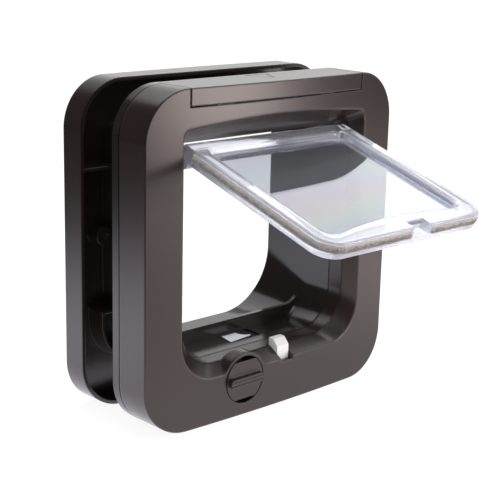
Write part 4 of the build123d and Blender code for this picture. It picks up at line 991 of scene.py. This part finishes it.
class CATFLAP_OT_stage(bpy.types.Operator):
    """Makes the floor, the light and the camera"""

    bl_idname = "catflap.stage"
    bl_label = "Stage"

    def execute(self, context):
        scene = context.scene
        studio = scene.cat_flap_studio
        scene.view_settings.view_transform = "Standard"
        self.make_world(scene, studio)
        self.make_floor(studio)
        self.make_camera(scene, studio)
        soft_box("strip_light", studio.strip_glow, *STRIP_LIGHT)
        soft_box("roof_light", studio.roof_glow, *ROOF_LIGHT)
        return {"FINISHED"}

    def make_world(self, scene, studio):
        """White to the camera and through the flap; in reflections white low at the right, dark elsewhere."""
        world = bpy.data.worlds.new("white_studio")
        world.use_nodes = True
        tree = world.node_tree
        tree.nodes.clear()
        path = add(tree, "LightPath")
        heading = add(tree, "SeparateXYZ", {"Vector": add(tree, "TexCoord").outputs["Generated"]})
        across = add(tree, "MapRange", {"Value": heading.outputs["X"], **MIRRORED_ACROSS})
        upwards = add(tree, "MapRange", {"Value": heading.outputs["Z"], **MIRRORED_UP})
        mirrored = add(tree, "Math", {0: across, 1: upwards}, operation="MULTIPLY")
        lit = add(tree, "Mix", {"Factor": path.outputs["Is Glossy Ray"], "A": studio.fill, "B": mirrored})
        strength = add(tree, "Mix", {"Factor": seen_rays(tree, path), "A": lit, "B": 1.0})
        background = add(tree, "Background", {"Color": WHITE, "Strength": strength})
        add(tree, "OutputWorld", {"Surface": background})
        scene.world = world

    def make_floor(self, studio):
        """Floor at the object's foot, white to the camera but for the shadow."""
        start_fresh()
        bpy.ops.mesh.primitive_plane_add(size=FLOOR_SIZE, location=(0, 0, FLOOR_HEIGHT))
        floor = bpy.context.object
        floor.name = "studio_floor"
        bpy.ops.object.transform_apply(location=True)
        coat(floor, white_paper_sweep(studio.floor_glow))

    def make_camera(self, scene, studio):
        """Camera at the photograph's viewing angle."""
        yaw, pitch, roll = studio.camera_yaw, studio.camera_pitch, studio.camera_roll
        forward = math.cos(pitch)
        ahead = Vector((-math.sin(yaw) * forward, math.cos(yaw) * forward, -math.sin(pitch)))
        level = Vector((math.cos(yaw), math.sin(yaw), 0))
        above = level.cross(ahead)
        right = level * math.cos(roll) + above * math.sin(roll)
        up = above * math.cos(roll) - level * math.sin(roll)
        data = bpy.data.cameras.new("photo_camera")
        data.sensor_width = SENSOR_WIDTH
        data.lens = studio.camera_lens
        data.clip_start = NEAREST
        data.clip_end = FURTHEST
        camera = bpy.data.objects.new("photo_camera", data)
        turn = Matrix((right, up, -ahead)).transposed().to_4x4()
        camera.matrix_world = Matrix.Translation(Vector(studio.camera_place)) @ turn
        scene.collection.objects.link(camera)
        scene.camera = camera


GROUPS = {
    "cat_flap_finishes": CatFlapFinishes,
    "cat_flap_pile": CatFlapPile,
    "cat_flap_studio": CatFlapStudio,
}

OPERATORS = (
    CATFLAP_OT_housings,
    CATFLAP_OT_flap,
    CATFLAP_OT_draught_strips,
    CATFLAP_OT_latch,
    CATFLAP_OT_electrics,
    CATFLAP_OT_screws,
    CATFLAP_OT_stage,
)


class CATFLAP_PT_panel(bpy.types.Panel):
    """Lists the steps that dress the cat flap"""

    bl_idname = "CATFLAP_PT_panel"
    bl_label = "Cat flap"
    bl_space_type = "VIEW_3D"
    bl_region_type = "UI"
    bl_category = "Cat flap"

    def draw(self, context):
        """A button for each step, and a field for each size and colour."""
        for operator in OPERATORS:
            self.layout.operator(operator.bl_idname)
        for key, group in GROUPS.items():
            for name in group.__annotations__:
                self.layout.prop(getattr(context.scene, key), name)


def register():
    """Adds the property groups, the operators and the panel to Blender."""
    for name, group in GROUPS.items():
        bpy.utils.register_class(group)
        setattr(bpy.types.Scene, name, PointerProperty(type=group))
    for operator in OPERATORS:
        bpy.utils.register_class(operator)
    bpy.utils.register_class(CATFLAP_PT_panel)


def unregister():
    """Takes them out again, last first."""
    bpy.utils.unregister_class(CATFLAP_PT_panel)
    for operator in reversed(OPERATORS):
        bpy.utils.unregister_class(operator)
    for name, group in reversed(GROUPS.items()):
        delattr(bpy.types.Scene, name)
        bpy.utils.unregister_class(group)


def main():
    """Dresses the cat flap step by step."""
    register()
    for operator in OPERATORS:
        group, name = operator.bl_idname.split(".")
        getattr(getattr(bpy.ops, group), name)()


if __name__ == "__main__":
    main()
